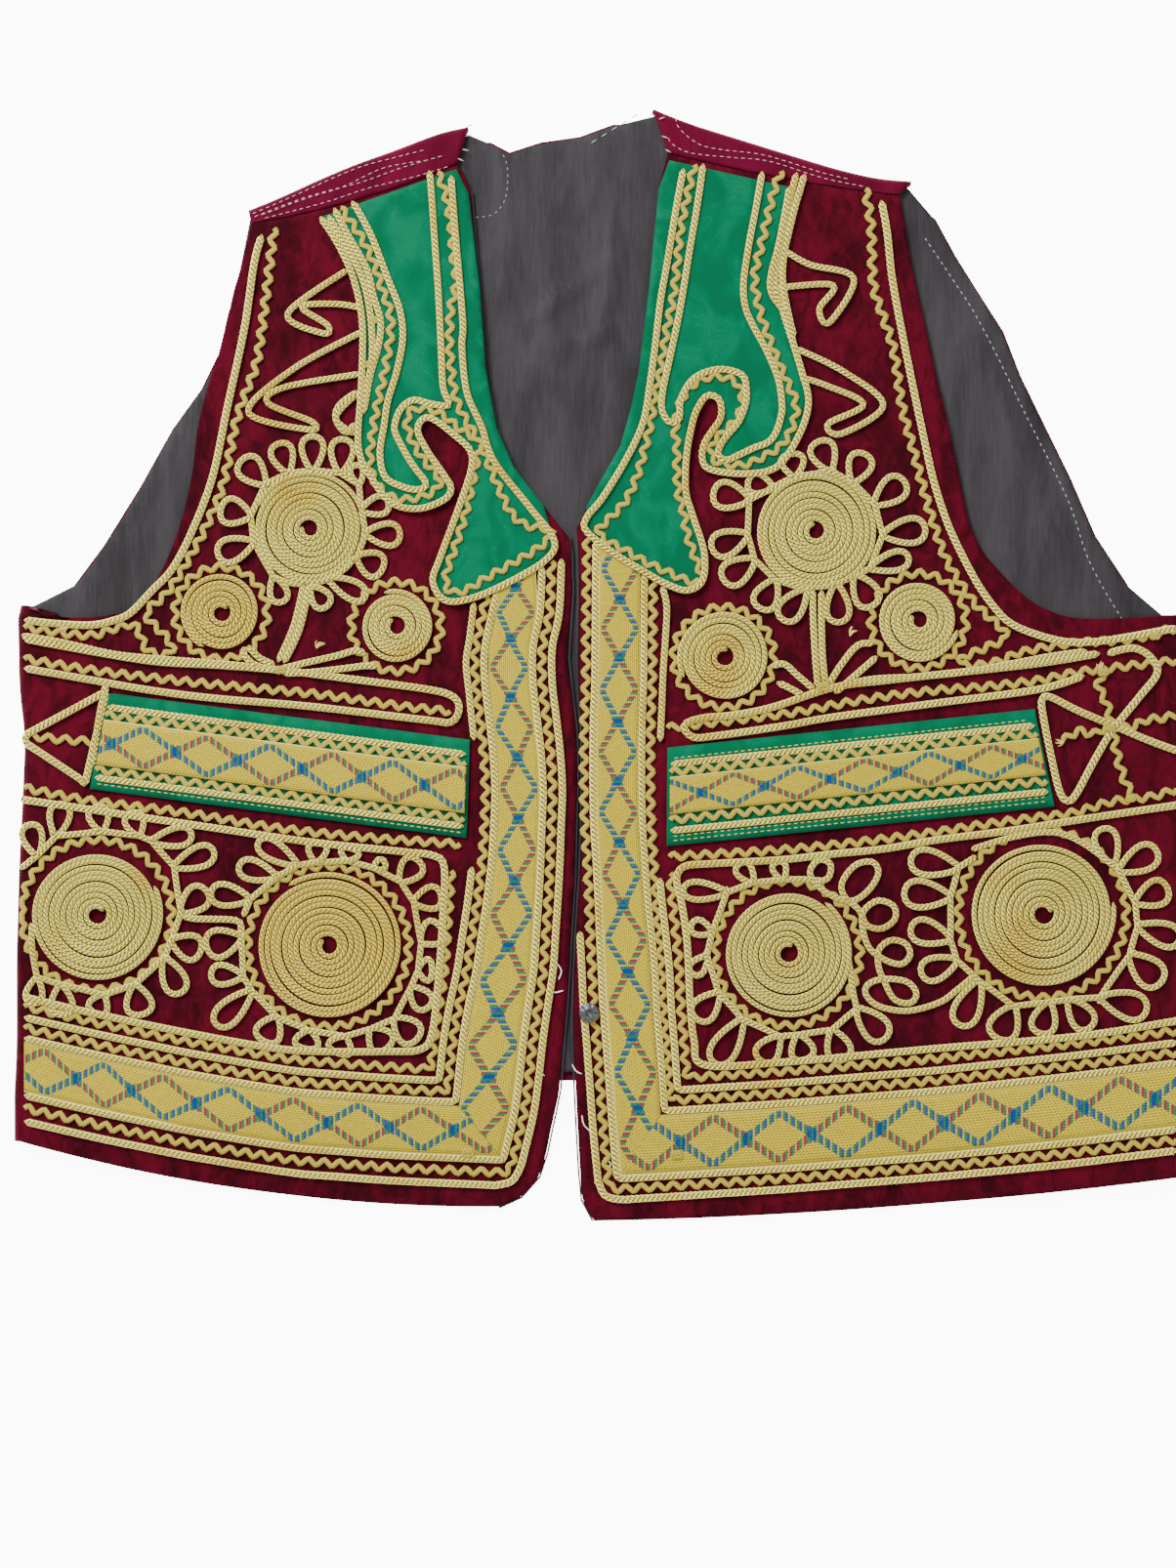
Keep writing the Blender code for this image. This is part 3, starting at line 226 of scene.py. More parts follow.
# Pocket flaps, as top left, top right, bottom right and bottom left
LEFT_POCKET = ((-220.9, -12.2), (-58.5, -33.2), (-60, -77.2), (-228.4, -55.2))
RIGHT_POCKET = ((29.8, -36.7), (194, -19.5), (202.8, -63.1), (29.5, -80.8))

# Cords that lie by themselves
ARMHOLE_CORDS = {
    "left": (
        (-151.4, 192.7), (-154.9, 180), (-159.3, 150.7), (-166.8, 115.9), (-173.8, 83.4), (-183.5, 58.3),
        (-191.8, 42.9), (-200.6, 33.5), (-210.3, 23.4), (-218.7, 19.8), (-228.4, 18.0), (-242.4, 18.6),
        (-256, 20.0),
    ),
    "right": (
        (125.4, 208), (128, 193.8), (130.7, 170.5), (137.7, 134), (145.2, 98.3), (149.2, 81.2), (154.9, 64),
        (161.5, 49.5), (169.4, 35), (177.3, 24.4), (183.9, 18.4), (194.5, 13.9), (207.7, 10.6),
        (220.9, 10.6), (234.1, 12.5), (256, 16.5),
    ),
}
POCKET_CORDS = {
    "left": (
        (-256, 11.6), (-235.4, 7.7), (-200.6, 1.9), (-172.5, 0.2), (-144.3, -2), (-116.2, -5.5),
        (-78, -10.6), (-66, -14), (-63.3, -19.5), (-67, -25.3), (-78, -24.4), (-130.2, -18.3),
        (-172.5, -14.7), (-200.6, -11.2), (-228.4, -6.4), (-256, -1.5),
    ),
    "right": (
        (223, 5.4), (194.9, 0.8), (149.6, -4.2), (126.7, -6.8), (103.8, -9.9), (76.6, -18.7), (59, -22.2),
        (46, -23.4), (37.5, -26.5), (41, -32), (52, -31.4), (81.4, -27.1), (103.8, -23.1), (149.6, -16.9),
        (194.9, -10.8), (216, -4.6),
    ),
}
PANEL_CORDS = {
    "left": (
        (-256, -60.3), (-214.3, -66.5), (-172.5, -72.7), (-130.2, -78.9), (-88.4, -83.3), (-75, -85),
        (-70, -90), (-70.4, -110), (-72.5, -140), (-75.5, -165), (-81, -171.8), (-95, -172.6),
        (-121.9, -172.6), (-145, -171.2), (-182.5, -164.7), (-226.6, -155.6), (-256, -148.5),
    ),
    "right": (
        (256, -62.6), (217.4, -68.4), (183.5, -73.7), (149.6, -78.1), (126.7, -82.0), (103.8, -84.3),
        (81.4, -86.8), (50, -88.6), (38.5, -89.5), (34.6, -92.5), (34, -97), (36.3, -107), (38.7, -125),
        (39.9, -150), (41.8, -168), (46.5, -178.6), (81.4, -177.4), (147, -171.5), (213.6, -165.8),
        (256, -159),
    ),
}

# Coiled-cord rosettes: centre and radius
ROSETTE_COLUMNS = ("name", "x", "y", "radius", "coils", "around")
ROSETTES = (
    ("rosette_hem_left_side", -225.3, -111.5, 29.5, 5, 16),
    ("rosette_hem_left_centre", -121.9, -125.6, 32.6, 5, 16),
    ("rosette_hem_right_centre", 83.6, -128.7, 28.6, 5, 16),
    ("rosette_hem_right_side", 198.0, -111.1, 32.1, 5, 16),
    ("rosette_chest_left", -130.2, 60.9, 26.0, 4, 14),
    ("rosette_chest_right", 98.1, 60.0, 27.3, 4, 14),
    ("rosette_small_left_side", -169.8, 23.5, 16.7, 3, 12),
    ("rosette_small_left_centre", -91.5, 17.4, 15.4, 3, 12),
    ("rosette_small_right_centre", 55.0, 3.7, 19.4, 3, 12),
    ("rosette_small_right_side", 144.3, 20.0, 16.7, 3, 12),
)
DISC_CREST = 2.5

# Press snap half on the right front's edge
SNAP_X, SNAP_Y = -5.3, -155.1

# What only the looks have
ARMHOLE_RICRAC = {
    "left": (
        (-146.1, 195.6), (-147.8, 181.5), (-151.4, 152), (-154, 135.3), (-158.4, 123), (-163.2, 108.9),
        (-165.9, 94.8), (-169.4, 79.4), (-175.1, 65.3), (-180.8, 53.9), (-187.9, 41.6), (-194.9, 31.5),
        (-203.3, 23.1), (-194.9, 13.4), (-191.4, 7.7), (-196.2, 4.2), (-203.3, 7.7), (-206.8, 16.1),
        (-210.3, 18.3), (-218.7, 16.1), (-230.1, 13.4), (-257.8, 16.9),
    ),
    "right": (
        (118.4, 213.2), (121, 195.6), (121.9, 170.5), (126.3, 156), (131.1, 140.6), (134.6, 116.8),
        (138.6, 101), (145.6, 74.6), (149.6, 61.4), (154.9, 46.9), (166.8, 28.4), (181.3, 13.9),
        (173.4, 8.6), (161.5, 3.3), (164.1, -0.2), (178.6, 2), (187.9, 5.9), (210.3, 9.9), (236.7, 11.7),
        (250.4, 15.2), (257, 16.5),
    ),
}
LAPEL_INNER = {
    "left": (
        (-111.3, 207.5), (-107.8, 202.2), (-102.5, 192.1), (-99, 183.3), (-95, 172.7), (-89.8, 159.1),
        (-88.4, 146.3), (-91.1, 131.3), (-95, 118.6), (-96.8, 107.1), (-98.6, 94.8), (-96.4, 84.3),
        (-88.9, 79.9), (-81.4, 78.5), (-77.9, 81.2), (-82.3, 87.3), (-86.2, 93.1), (-91.5, 103.2),
        (-92, 107.6), (-89.3, 114.6), (-83.6, 118.6), (-75.7, 116.8), (-67.8, 116.4), (-70.4, 124.3),
        (-71.3, 141.9), (-72.6, 168.3), (-73.9, 185.9), (-75.7, 212.3), (-76.6, 221.1),
    ),
    "right": (
        (45.8, 224.2), (43.1, 205.3), (39.6, 184.6), (37, 168.3), (34.3, 153.3), (30.4, 135.3),
        (27.7, 122.5), (27.3, 114.6), (29.9, 109.3), (33, 108.5), (35.2, 110.7), (35.6, 118.1),
        (39.2, 125.6), (44.4, 130), (51.5, 132.2), (58.1, 131.8), (63.8, 129.1), (65.1, 123.4),
        (64.7, 116.8), (61.6, 108.9), (56.8, 103.2), (53.7, 98.8), (52.4, 94.4), (55.9, 91.7), (62.5, 94.4),
        (69.1, 97.5), (74.8, 99.7), (78.3, 104.1), (80.5, 111.1), (81, 116.8), (79.2, 128.3), (73.9, 141),
        (68.2, 151.6), (64.7, 159.9), (63.8, 170.5), (66, 186.8), (69.1, 203.1), (72.2, 220.7),
    ),
}
POCKET_RICRAC = {
    "left_above": (
        (-258.7, 2.9), (-228.4, -2), (-200.6, -5.5), (-172.5, -8.6), (-130.2, -12.5), (-88.4, -18.3),
        (-67.3, -20.5),
    ),
    "left_below": (
        (-257.8, -54.8), (-228.4, -60.5), (-186.6, -65.8), (-144.3, -72.8), (-102.1, -77.2), (-62.9, -79.9),
    ),
    "right_above": (
        (29.9, -27.9), (81.4, -21.8), (103.8, -17.8), (126.7, -13.9), (149.6, -11.2), (172, -9.5),
        (194.9, -6.8), (211.6, -3.3), (228.8, -1.1), (244.2, 0.7),
    ),
    "right_below": (
        (30.8, -85.6), (81.4, -82.5), (103.8, -80.3), (126.7, -77.7), (149.6, -74.6), (172, -71.1),
        (194.9, -68), (211.6, -65.8), (228.8, -60.9), (246, -58.7), (257.4, -55.2),
    ),
}
SQUIGGLE_CORDS = {
    "left_upper": (
        (-113.1, 177.1), (-139.9, 157.3), (-124.1, 148.5), (-121.9, 152), (-133.8, 160.4), (-118.8, 161.7),
        (-106.9, 159.9),
    ),
    "left_lower": (
        (-106.5, 149.4), (-137.3, 132.7), (-157.5, 113.3), (-130.2, 105.4), (-128.9, 108.9),
        (-148.7, 117.3), (-141.7, 124.3), (-107.4, 130.5),
    ),
    "left_loop": ((-107.4, 123), (-118.4, 111.1), (-110, 103.2)),
    "right_upper": (
        (82.3, 185.5), (93.3, 179.3), (113.1, 173.1), (102.1, 153.3), (97.7, 159.5), (103.8, 170.1),
        (77, 168.7),
    ),
    "right_lower": (
        (87.1, 141.9), (108.7, 131.3), (126.3, 116.4), (107.4, 103.6), (101.6, 108), (117.5, 116.8),
        (100.8, 125.2), (89.8, 128.7),
    ),
}
STITCHES = {
    "arm_right": ((145.2, 192.5), (169.4, 155.1), (189.2, 115.5), (209, 75.9), (220, 45.1), (235.4, 18.7)),
    "patch": ((-44, 229.9), (-41.8, 223.3), (-42.7, 210.1), (-48.4, 202.6), (-59.4, 201.3)),
    "running": ((-4.8, 234.3), (2.2, 238.7), (17.6, 248.4)),
}
THREADS = {
    "a": ((-25.5, -177.5), (-27.7, -180.6), (-25.1, -183.7)),
    "b": ((-12.8, -178.4), (-11, -181.5), (-8.4, -182.8)),
    "c": ((-8.4, -201.3), (-7.5, -205.7), (-4, -209.2)),
    "d": ((1.3, -220.7), (4.4, -223.3), (3.1, -226.8)),
    "e": ((-19.8, -133.1), (-17.6, -136.6), (-18.9, -140.6)),
    "f": ((-22.9, -144.1), (-20.7, -146.3), (-16.7, -145.4)),
}


def value_at(run, where, key, value):
    """Reads a coordinate of a run of points at a place along the other one."""
    run = sorted(run, key=lambda point: point[key])
    for low, high in zip(run, run[1:]):
        if where <= high[key]:
            break
    share = (where - low[key]) / (high[key] - low[key])
    return low[value] + share * (high[value] - low[value])


def row_point(row, u, inward):
    """A point of one section, u from its centre end to its side."""
    outer = row["outer_x"] - inward * FOLD_RADIUS * row["folded"]
    x = row["inner_x"] + (outer - row["inner_x"]) * u
    y = row["inner_y"] + (row["outer_y"] - row["inner_y"]) * u - row["bow"] * 4 * u * (1 - u)
    return x, y


def strip_stations(rows, table, sign):
    """For each station of a shoulder strip: seam point, fold point and unit vector between them."""
    stations = []
    for line in table:
        line = dict(zip(STRIP_COLUMNS, line))
        x, y = row_point(rows[0], line["share"], sign)
        y += STRIP_SEAM
        dx, dy = line["fold_x"] - x, line["fold_y"] - y
        size = math.hypot(dx, dy)
        stations.append((x, y, line["fold_x"], line["fold_y"], (dx / size, dy / size)))
    return stations


def strip_line(rows, table, sign, inset):
    """A line that runs a distance in from a shoulder's top fold."""
    return [
        (fold_x - ux * inset, fold_y - uy * inset)
        for _, _, fold_x, fold_y, (ux, uy) in strip_stations(rows, table, sign)
    ]


def back_outline(strip_inset, side_inset, arm_inset, hem_lift):
    """The back's outline, clear of what folds round its shoulders and sides."""
    left_top = strip_line(LEFT, LEFT_STRIP, -1, strip_inset)
    right_top = strip_line(RIGHT, RIGHT_STRIP, 1, strip_inset)
    left_x, right_x = side_inset - SIDE_X, SIDE_X - side_inset
    hem = [(x, back_hem(x) + hem_lift) for x in (right_x, *BACK_HEM_STATIONS, left_x)]
    left_arm = [(x + arm_inset, y) for x, y in LEFT_ARM_EDGE]
    right_arm = [(x - arm_inset, y) for x, y in RIGHT_ARM_EDGE]
    neck = [(x, y - arm_inset) for x, y in NECK_EDGE]
    left_side = [(left_x, BACK_LEFT_TOP)]
    right_side = [(right_x, BACK_RIGHT_TOP)]
    return neck + right_top + right_arm + right_side + hem + left_side + left_arm[::-1] + left_top[::-1]


def trim_path(side, name):
    """One line of the trim: down the front to its corner, then along the hem."""
    trim = side["trims"][name]
    sign = side["sign"]

    def run_x(y):
        low, high = side["widens"]
        wide = ease((low - y) / (low - high))
        gap = trim["at_top"] + (trim["below"] - trim["at_top"]) * wide
        return value_at(side["edge_run"], y, 1, 0) + sign * gap

    def hem_y(x):
        return value_at(side["hem_run"], x, 0, 1) + trim["at_hem"]

    corner_x = side["edge_run"][-1][0] + sign * trim["below"]
    for _ in range(12):
        corner_y = hem_y(corner_x)
        corner_x = run_x(corner_y)
    levels = [y for y in side["levels"] if corner_y + CORNER_CLEAR < y < trim["start_y"]]
    down = [(run_x(y), y) for y in [trim["start_y"]] + levels]
    along = [(x, hem_y(x)) for x in side["stations"] if sign * (x - corner_x) > CORNER_CLEAR]
    return down, (corner_x, corner_y), along


# The triangle of cord at the left side, drawn with sharp corners
LEFT_MOTIF = (
    (-231.6, -51.5), (-256.3, -35), (-257.2, -32.8), (-256, -30.6), (-222.6, -12.4), (-221.4, -12.6),
    (-221.6, -14), (-230.2, -51.8), (-231, -52.6), (-231.9, -51.8),
)
# Ric-rac on the lapels
LAPEL_TAPES = {
    "left": (
        (
            (-116.2, 204.4), (-108.4, 193.6), (-101.5, 180.4), (-97.6, 168.1), (-93.8, 155.8),
            (-94.5, 143.4), (-96.9, 129.5), (-100, 115.6), (-102.3, 101.7), (-103, 89.4), (-100, 80.9),
            (-92.2, 74.7), (-83, 74.7), (-74.5, 77.8), (-71.9, 83.2), (-78.3, 90.9), (-83, 97.9),
            (-86.4, 106.4), (-85.3, 113.3), (-78.3, 114.9), (-70.6, 111.8), (-62.9, 105.6), (-56, 101.7),
        ),
        (
            (-72.9, 220.3), (-69.1, 209.8), (-66.8, 195.9), (-66, 183.5), (-64.5, 171.2), (-66.8, 160.4),
            (-67.5, 146.5), (-66.8, 132.6), (-64.5, 118.7), (-59.1, 107.9), (-54.4, 100.2), (-49.8, 89.4),
            (-45.2, 78.6), (-39.8, 67.8), (-32.8, 62.4), (-23.6, 60.8), (-22.8, 57), (-30.5, 50.8),
            (-41.3, 44.6), (-52.1, 38.5), (-61.4, 33.1), (-68.3, 33.8), (-68.8, 41.5), (-65.2, 52.4),
            (-61.4, 64.7), (-58.3, 77), (-55.5, 90.9), (-54, 98.7),
        ),
    ),
    "right": (
        (
            (41.8, 223.7), (38.7, 209.8), (35.6, 194.3), (34.1, 178.9), (32.5, 165), (29.4, 149.6),
            (27.1, 134.1), (24.3, 121.8), (22.5, 109.5), (19.7, 97.1), (16.3, 84.8), (10.9, 73.2),
            (3.2, 65), (-1, 60.8), (0.9, 56.7), (10.1, 52), (19.4, 46.5), (28.7, 42.3), (37.9, 38.2),
            (44.1, 36.9), (44.9, 40.8), (41.8, 49.3), (38.7, 58.5), (37.2, 67.8), (34.8, 77), (34.1, 87.8),
            (34.1, 97.1), (33.3, 106.4), (36.1, 118.7), (42.6, 126.4), (51.8, 129.2), (60.8, 126.1),
            (63.4, 117.9), (60.3, 109.5), (53.4, 103.3), (49, 97.1), (51.8, 90.9), (62.6, 89.4),
            (71.9, 92.9), (81.1, 98.7), (86.1, 107.9), (87.3, 117.2), (82.7, 128), (78.1, 138.8),
            (73.4, 151.1), (70.3, 161.9), (68.8, 174.3), (71.9, 188.2), (75, 202.1), (78.1, 214.4),
            (80.7, 220.9),
        ),
    ),
}
# Cords outside the long trims: on the lapels, in the stems and from one rosette to another
EXTRA_CORDS = {
    "left": (
        (
            (-119.2, 204.4), (-112.3, 191.3), (-104.6, 177.4), (-101.5, 165), (-98.4, 154.2),
            (-99.2, 143.4), (-103, 129.5), (-105.8, 114.1),
        ),
        (
            (-121.9, 201.3), (-113.1, 186.6), (-106.4, 172.7), (-103, 157.3), (-102.1, 138.8),
            (-104.3, 124.9), (-106.1, 112.5),
        ),
        (
            (-109.5, 108.7), (-113.8, 104.1), (-118.2, 109.5), (-117.7, 114.9), (-113.1, 119.5),
            (-107.7, 122.6),
        ),
        ((-132.7, 36.4), (-137.2, 17.7), (-144.3, 1.5)),
        ((-130.1, 36.4), (-134.6, 16.4), (-141.7, 1.2)),
        ((-161, 7.3), (-156.5, 1.5), (-149.4, -1.4), (-142.3, -1.9)),
        ((-157.8, 9), (-152.7, 3.5), (-145.6, 0.2)),
        ((-143.6, -1.7), (-130.7, 1.5), (-117.8, 4.4), (-109.4, 6.7), (-104.9, 4.8)),
        ((-142.3, -3.6), (-129.4, -3), (-115.2, -1.4), (-104.3, -0.1), (-99.7, -1)),
        ((-259.7, 13.5), (-240.4, 10.2), (-217.2, 5), (-193.9, 2.7), (-170.7, 0.9), (-150.1, -1)),
        ((-56.6, 28.3), (-58.7, 11.8), (-60.2, 1.1), (-58.7, -13.8), (-57.6, -24.5), (-56.6, -33.5)),
        ((-187.5, -111.3), (-181.8, -113.2), (-163.3, -114), (-160.7, -118.3), (-160.7, -126.9)),
    ),
    "right": (
        (
            (87.6, 220.3), (84.5, 208.2), (81.9, 194.3), (79.6, 182), (78.1, 171.2), (80.4, 161.9),
            (84.2, 149.6), (88.1, 137.2), (91.6, 124.9),
        ),
        (
            (91.2, 219.8), (87.3, 206.7), (84.2, 194.3), (81.9, 183.5), (81.4, 171.2), (84.2, 155.8),
            (86.5, 146.5),
        ),
        ((94.7, 34.5), (95, 20.3), (95.9, 4.2), (97.1, -10)),
        ((98.7, 33.8), (98.7, 20.3), (99.2, 4.2), (100.5, -8.8)),
        ((76.1, -0.7), (81.9, 0.7), (87.9, -4.4), (95.9, -11.2)),
        ((78.6, -7.5), (84.2, -10), (91, -13.7)),
        ((101.7, -8.8), (107.6, 0.5), (115, 9.1), (122.5, 9.8)),
        ((104.5, -12.5), (113.8, -4.4), (123.7, 4.2)),
        ((102.7, -10.6), (120, -6.3), (139.7, -5.1), (160.7, -3.2), (183, 0.7), (201.5, 4.2), (217.5, 6.4)),
        ((27.3, 35.8), (29.5, 26.7), (28.9, 11.8), (27.9, -3.1), (27.3, -19.1), (26.6, -34)),
    ),
}
# A star's long cord and the two tapes across it, in the motif at the right side
STAR_CORD = (
    (259.2, -38.9), (244.5, -33.4), (228.7, -26.7), (213, -20.1), (200.6, -14), (197.2, -15.3),
    (197.7, -22.4), (201.5, -41.5), (204.9, -55.8), (208, -60.4), (212, -58.2), (220.6, -42.5),
    (228.7, -29.1), (240.7, -13.9), (248.5, -3.4), (245.4, 3.8), (238.7, 7.6), (231.1, 6.7),
    (226.3, 5),
)
STAR_TAPES = (
    (
        (224.4, -3.4), (222.3, -9.1), (225.9, -16.7), (228.4, -26.3), (230.2, -36.8), (232.1, -45.3),
        (234.9, -53), (238.3, -59.2),
    ),
    (
        (206.8, -33.4), (213.9, -29.3), (220.1, -30.6), (227.8, -27.2), (236.8, -27.7), (243.5, -24.5),
        (251.1, -23.6), (258.8, -21.7),
    ),
)
# The cord that curls from one rosette to the next on the right hem
RIGHT_LINK = (
    (166.8, -138.8), (159.7, -144.7), (151.5, -150.6), (137.3, -154.4), (124.4, -152.4),
    (118.5, -147.1), (119.7, -142.4), (126.7, -140.2), (136.7, -141.4), (141.1, -146.5),
    (138.5, -150.8), (131.4, -149.4), (126.7, -141.2), (124.1, -134.1), (124.4, -127),
    (129.7, -122.9), (136.2, -124.4), (138.3, -129.4), (134.4, -133.5), (127.3, -131.8),
    (120.2, -126.5), (117.1, -117.6), (117.5, -110), (123.8, -105.2), (130.9, -107.6),
    (131.4, -113.5), (125.6, -117.6), (119.1, -116.2), (115.5, -109.4), (109.1, -103.5),
    (107.9, -97), (113.8, -89.3), (121.4, -87.9), (124.1, -92.9), (119.7, -100.5), (112.6, -105.2),
    (104.3, -103.5), (96.7, -98.2), (93.5, -92.3), (97.3, -87), (102.6, -88.7), (102, -94.6),
    (97.3, -97),
)
# Lines of stitches along the shoulder strips
SHOULDER_STITCHES = {
    "left": (
        ((-156.3, 202.1), (-138.5, 209.8), (-110.8, 222.1), (-92.2, 227.5), (-76.8, 231.4)),
        ((-155.5, 200.8), (-130.8, 210.1), (-107.7, 216.3), (-89.1, 222.9), (-70.6, 228.3)),
        ((-150.9, 200.2), (-123.1, 207.5), (-104.6, 213.6), (-83, 219), (-67.5, 223.7)),
        ((-152.4, 201.6), (-132.4, 209), (-115.4, 214.4), (-96.9, 222.9), (-76.8, 226.4)),
    ),
    "right": (
        (
            (33.7, 246), (34.8, 241), (43, 234), (52.3, 231.3), (71, 229), (84, 225.5), (98, 221),
            (112, 217.6),
        ),
        (
            (30, 236.8), (32.3, 233.3), (40.5, 229.5), (59, 227.5), (75.5, 225.8), (98.9, 218.5),
            (118, 214.5),
        ),
    ),
}
# Loops of cord: where each leaves its ring, where it turns back, and half its width
LOOPS = {
    "petals_hem_left_side": {
        "start": ((-259.6, -91.3),),
        "end": ((-253.7, -128.2), (-254.3, -115)),
        "loops": (
            (-251.4, -84.7, -255, -72.2, 4), (-243.1, -76.1, -241.1, -62.9, 4),
            (-222.7, -74.1, -225, -64.2, 4), (-206.2, -76.1, -209.2, -66.9, 3.7),
            (-200.3, -78.7, -183.8, -75.7, 3.7), (-190.4, -90, -173.9, -83.4, 4.2),
            (-187.5, -110.4, -177.2, -101.2, 5), (-191.7, -122.9, -179.8, -127.5, 5.3),
            (-195, -130.8, -188.4, -145.6, 4.7), (-208.2, -142.7, -205.5, -155.2, 5.5),
            (-222, -147.3, -225.6, -154.6, 4), (-241.1, -142.7, -240.5, -155.2, 4.5),
            (-251.5, -139.5, -253.6, -150, 3.2),
        ),
    },
    "petals_hem_left_centre": {
        "start": ((-160.7, -118.3),),
        "end": ((-160, -112.4),),
        "loops": (
            (-160.7, -121.6, -175.2, -125.6, 5.9), (-160, -138.8, -173.2, -138.1, 4),
            (-156.1, -145.4, -171.2, -159.9, 4.6), (-144.9, -157.2, -150.1, -167.1, 5.3),
            (-130.3, -163.2, -131.7, -170.4, 5), (-114.5, -165.8, -117.2, -172.4, 5),
            (-102.7, -162.5, -96.1, -170.4, 5.3), (-92.1, -157.9, -82.9, -166.5, 5.3),
            (-84.8, -144, -77.6, -152, 4), (-81.5, -136.1, -76.3, -136.1, 4.5),
            (-80.2, -123.6, -72.3, -117.7, 5.3), (-83.5, -105.8, -72.3, -103.1, 4.6),
            (-89.5, -96.6, -82.2, -88, 4.6), (-101.3, -90.6, -97.4, -88.6, 1.8),
            (-113.2, -87.3, -111.9, -82.7, 3.7), (-127.1, -88, -126.4, -80.1, 3.7),
            (-135.6, -89.3, -152.1, -79.4, 3.7), (-144.9, -94.6, -160.7, -90, 4),
            (-156.7, -104.5, -173.2, -101.8, 4.4),
        ),
    },
    "petals_hem_right_centre": {
        "start": ((99.8, -96.3), (90, -95.6)),
        "end": ((112.6, -144.7), (111.4, -135.3), (109.6, -125.9), (107.9, -116.4)),
        "loops": (
            (81.5, -95.8, 79.2, -88.8, 2.4), (68, -97, 62.5, -89.6, 3), (56.2, -101.6, 37.9, -100.4, 3.5),
            (49.7, -119.3, 41.5, -116.3, 2.8), (47.4, -129.9, 41.5, -137, 2.8),
            (52.7, -146.4, 43.2, -157, 5), (63.3, -158.2, 51.5, -177, 5.3),
            (79.8, -165.8, 72.1, -175.9, 4.7), (88, -165.2, 91, -175.3, 4.7),
            (103.2, -163, 107.9, -175.4, 4.9), (114.4, -153.6, 126.7, -165.9, 5.3),
        ),
    },
    "petals_hem_right_side": {
        "start": ((165.6, -82.3), (184.5, -76.6), (202.1, -74.6), (215.1, -79.3)),
        "end": ((168, -85.2),),
        "loops": (
            (229.2, -89.3, 224.5, -74, 4.7), (231.6, -91.7, 247.5, -83.4, 5.3),
            (238.7, -105.8, 252.2, -99.9, 5.3), (239.9, -116.4, 257.5, -122.3, 4.7),
            (236.3, -129.4, 249.3, -141.2, 5.9), (223.4, -148.3, 242.8, -154.1, 5.7),
            (209.2, -149.4, 218.1, -161.2, 4.7), (200.4, -150.6, 196.8, -163.6, 4.9),
            (184.5, -152.4, 178, -165.9, 6.1), (169.2, -141.2, 160.9, -160, 5.3),
            (159.1, -131.8, 144.4, -137.6, 4.7), (156.2, -122.3, 139.7, -117.6, 4.9),
            (156.2, -103.5, 136.7, -101.7, 5.7), (159.7, -90.5, 139.7, -87, 5.3),
        ),
    },
    "petals_chest_left": {
        "start": ((-132, 36.4), (-139.7, 37)),
        "end": ((-132, 36.4),),
        "loops": (
            (-146.2, 39.6, -143, 29.3, 3.4), (-155.2, 55.1, -170.1, 49.9, 4.9),
            (-156.5, 66.7, -168.8, 69.9, 5.4), (-150.1, 80.9, -159.7, 91.2, 5.2),
            (-139.7, 86.1, -143.6, 98.3, 4.5), (-128.8, 87.3, -128.8, 101.5, 4.5),
            (-116.5, 86.1, -115.2, 100.2, 4.6), (-108.1, 80.9, -109.4, 88.6, 2.3),
            (-106.8, 69.3, -95.9, 72.5, 3.6), (-104.9, 59, -90.7, 58.3, 4.6),
            (-108.8, 48.6, -98.5, 43.5, 5.2), (-121.7, 39, -106.2, 31.2, 3.6),
            (-129.4, 35.1, -123, 27.3, 3.6),
        ),
    },
    "petals_chest_right": {
        "start": ((97.8, 37.5),),
        "end": ((97.8, 37.5),),
        "loops": (
            (91.6, 33.8, 81.7, 21.5, 4.7), (78, 38.2, 71.8, 26.4, 4.9), (68.7, 47.4, 55.8, 38.8, 5.2),
            (65.6, 58.5, 50.8, 52.4, 5.2), (66.3, 74, 51.4, 77.1, 5.6), (76.8, 79.5, 66.9, 82, 4.1),
            (86.6, 84.5, 85.4, 93.7, 4.7), (102.7, 86.9, 97.8, 99.3, 5.2), (112.6, 82, 117.5, 93.7, 4.9),
            (122.5, 72.1, 134.8, 82, 5.2), (126.2, 58.5, 144.1, 61, 5.2), (120.6, 43.7, 136.7, 48, 3.7),
            (113.8, 40, 121.2, 27.7, 5.2), (105.2, 36.3, 106.4, 20.3, 4.7),
        ),
    },
}

# How much each loop outgrows its measures, its lift where it crosses, its points
LOOP_MORE = 1.0
LOOP_LIFT = 1.1
LOOP_POINTS = 16
# Rows on a pocket, as shares of its depth
POCKET_ROWS = {
    "left": {"woven": (0.28, 0.75), "tapes": (0.232, 0.80), "cords": (0.15, 0.88), "stitches": (0.945,)},
    "right": {
        "woven": (0.30, 0.68), "tapes": (0.25, 0.735), "cords": (0.17, 0.845),
        "stitches": (0.11, 0.90, 0.945),
    },
}
# Lower edge of each lapel, and the gap between it and a trim that comes up to it
LAPEL_FEET = {
    "left": ((-69.5, 29), (-57.6, 30), (-40.9, 37.2), (-24.5, 46.5), (-20.8, 48), (-17, 48.5)),
    "right": ((-8, 61), (-6.4, 60), (6.6, 49.6), (17.6, 42.9), (29, 36.5), (38.5, 33.5)),
}
FOOT_CLEAR = 0.6
# Cords that start beyond these lie on a lapel
LAPEL_FROM_X, LAPEL_FROM_Y = 70, 90
# How far a band runs under its cords, the width of its pattern, and where trims meet the side
BAND_UNDER = 0.9
BAND_WIDE = 23.0
SIDE_END = 257.5
SIDE_NEAR = 225
# Points across a band, along a hem and along a pocket
BAND_COLUMNS = 9
HEM_STATIONS = 240
POCKET_STATIONS = 160
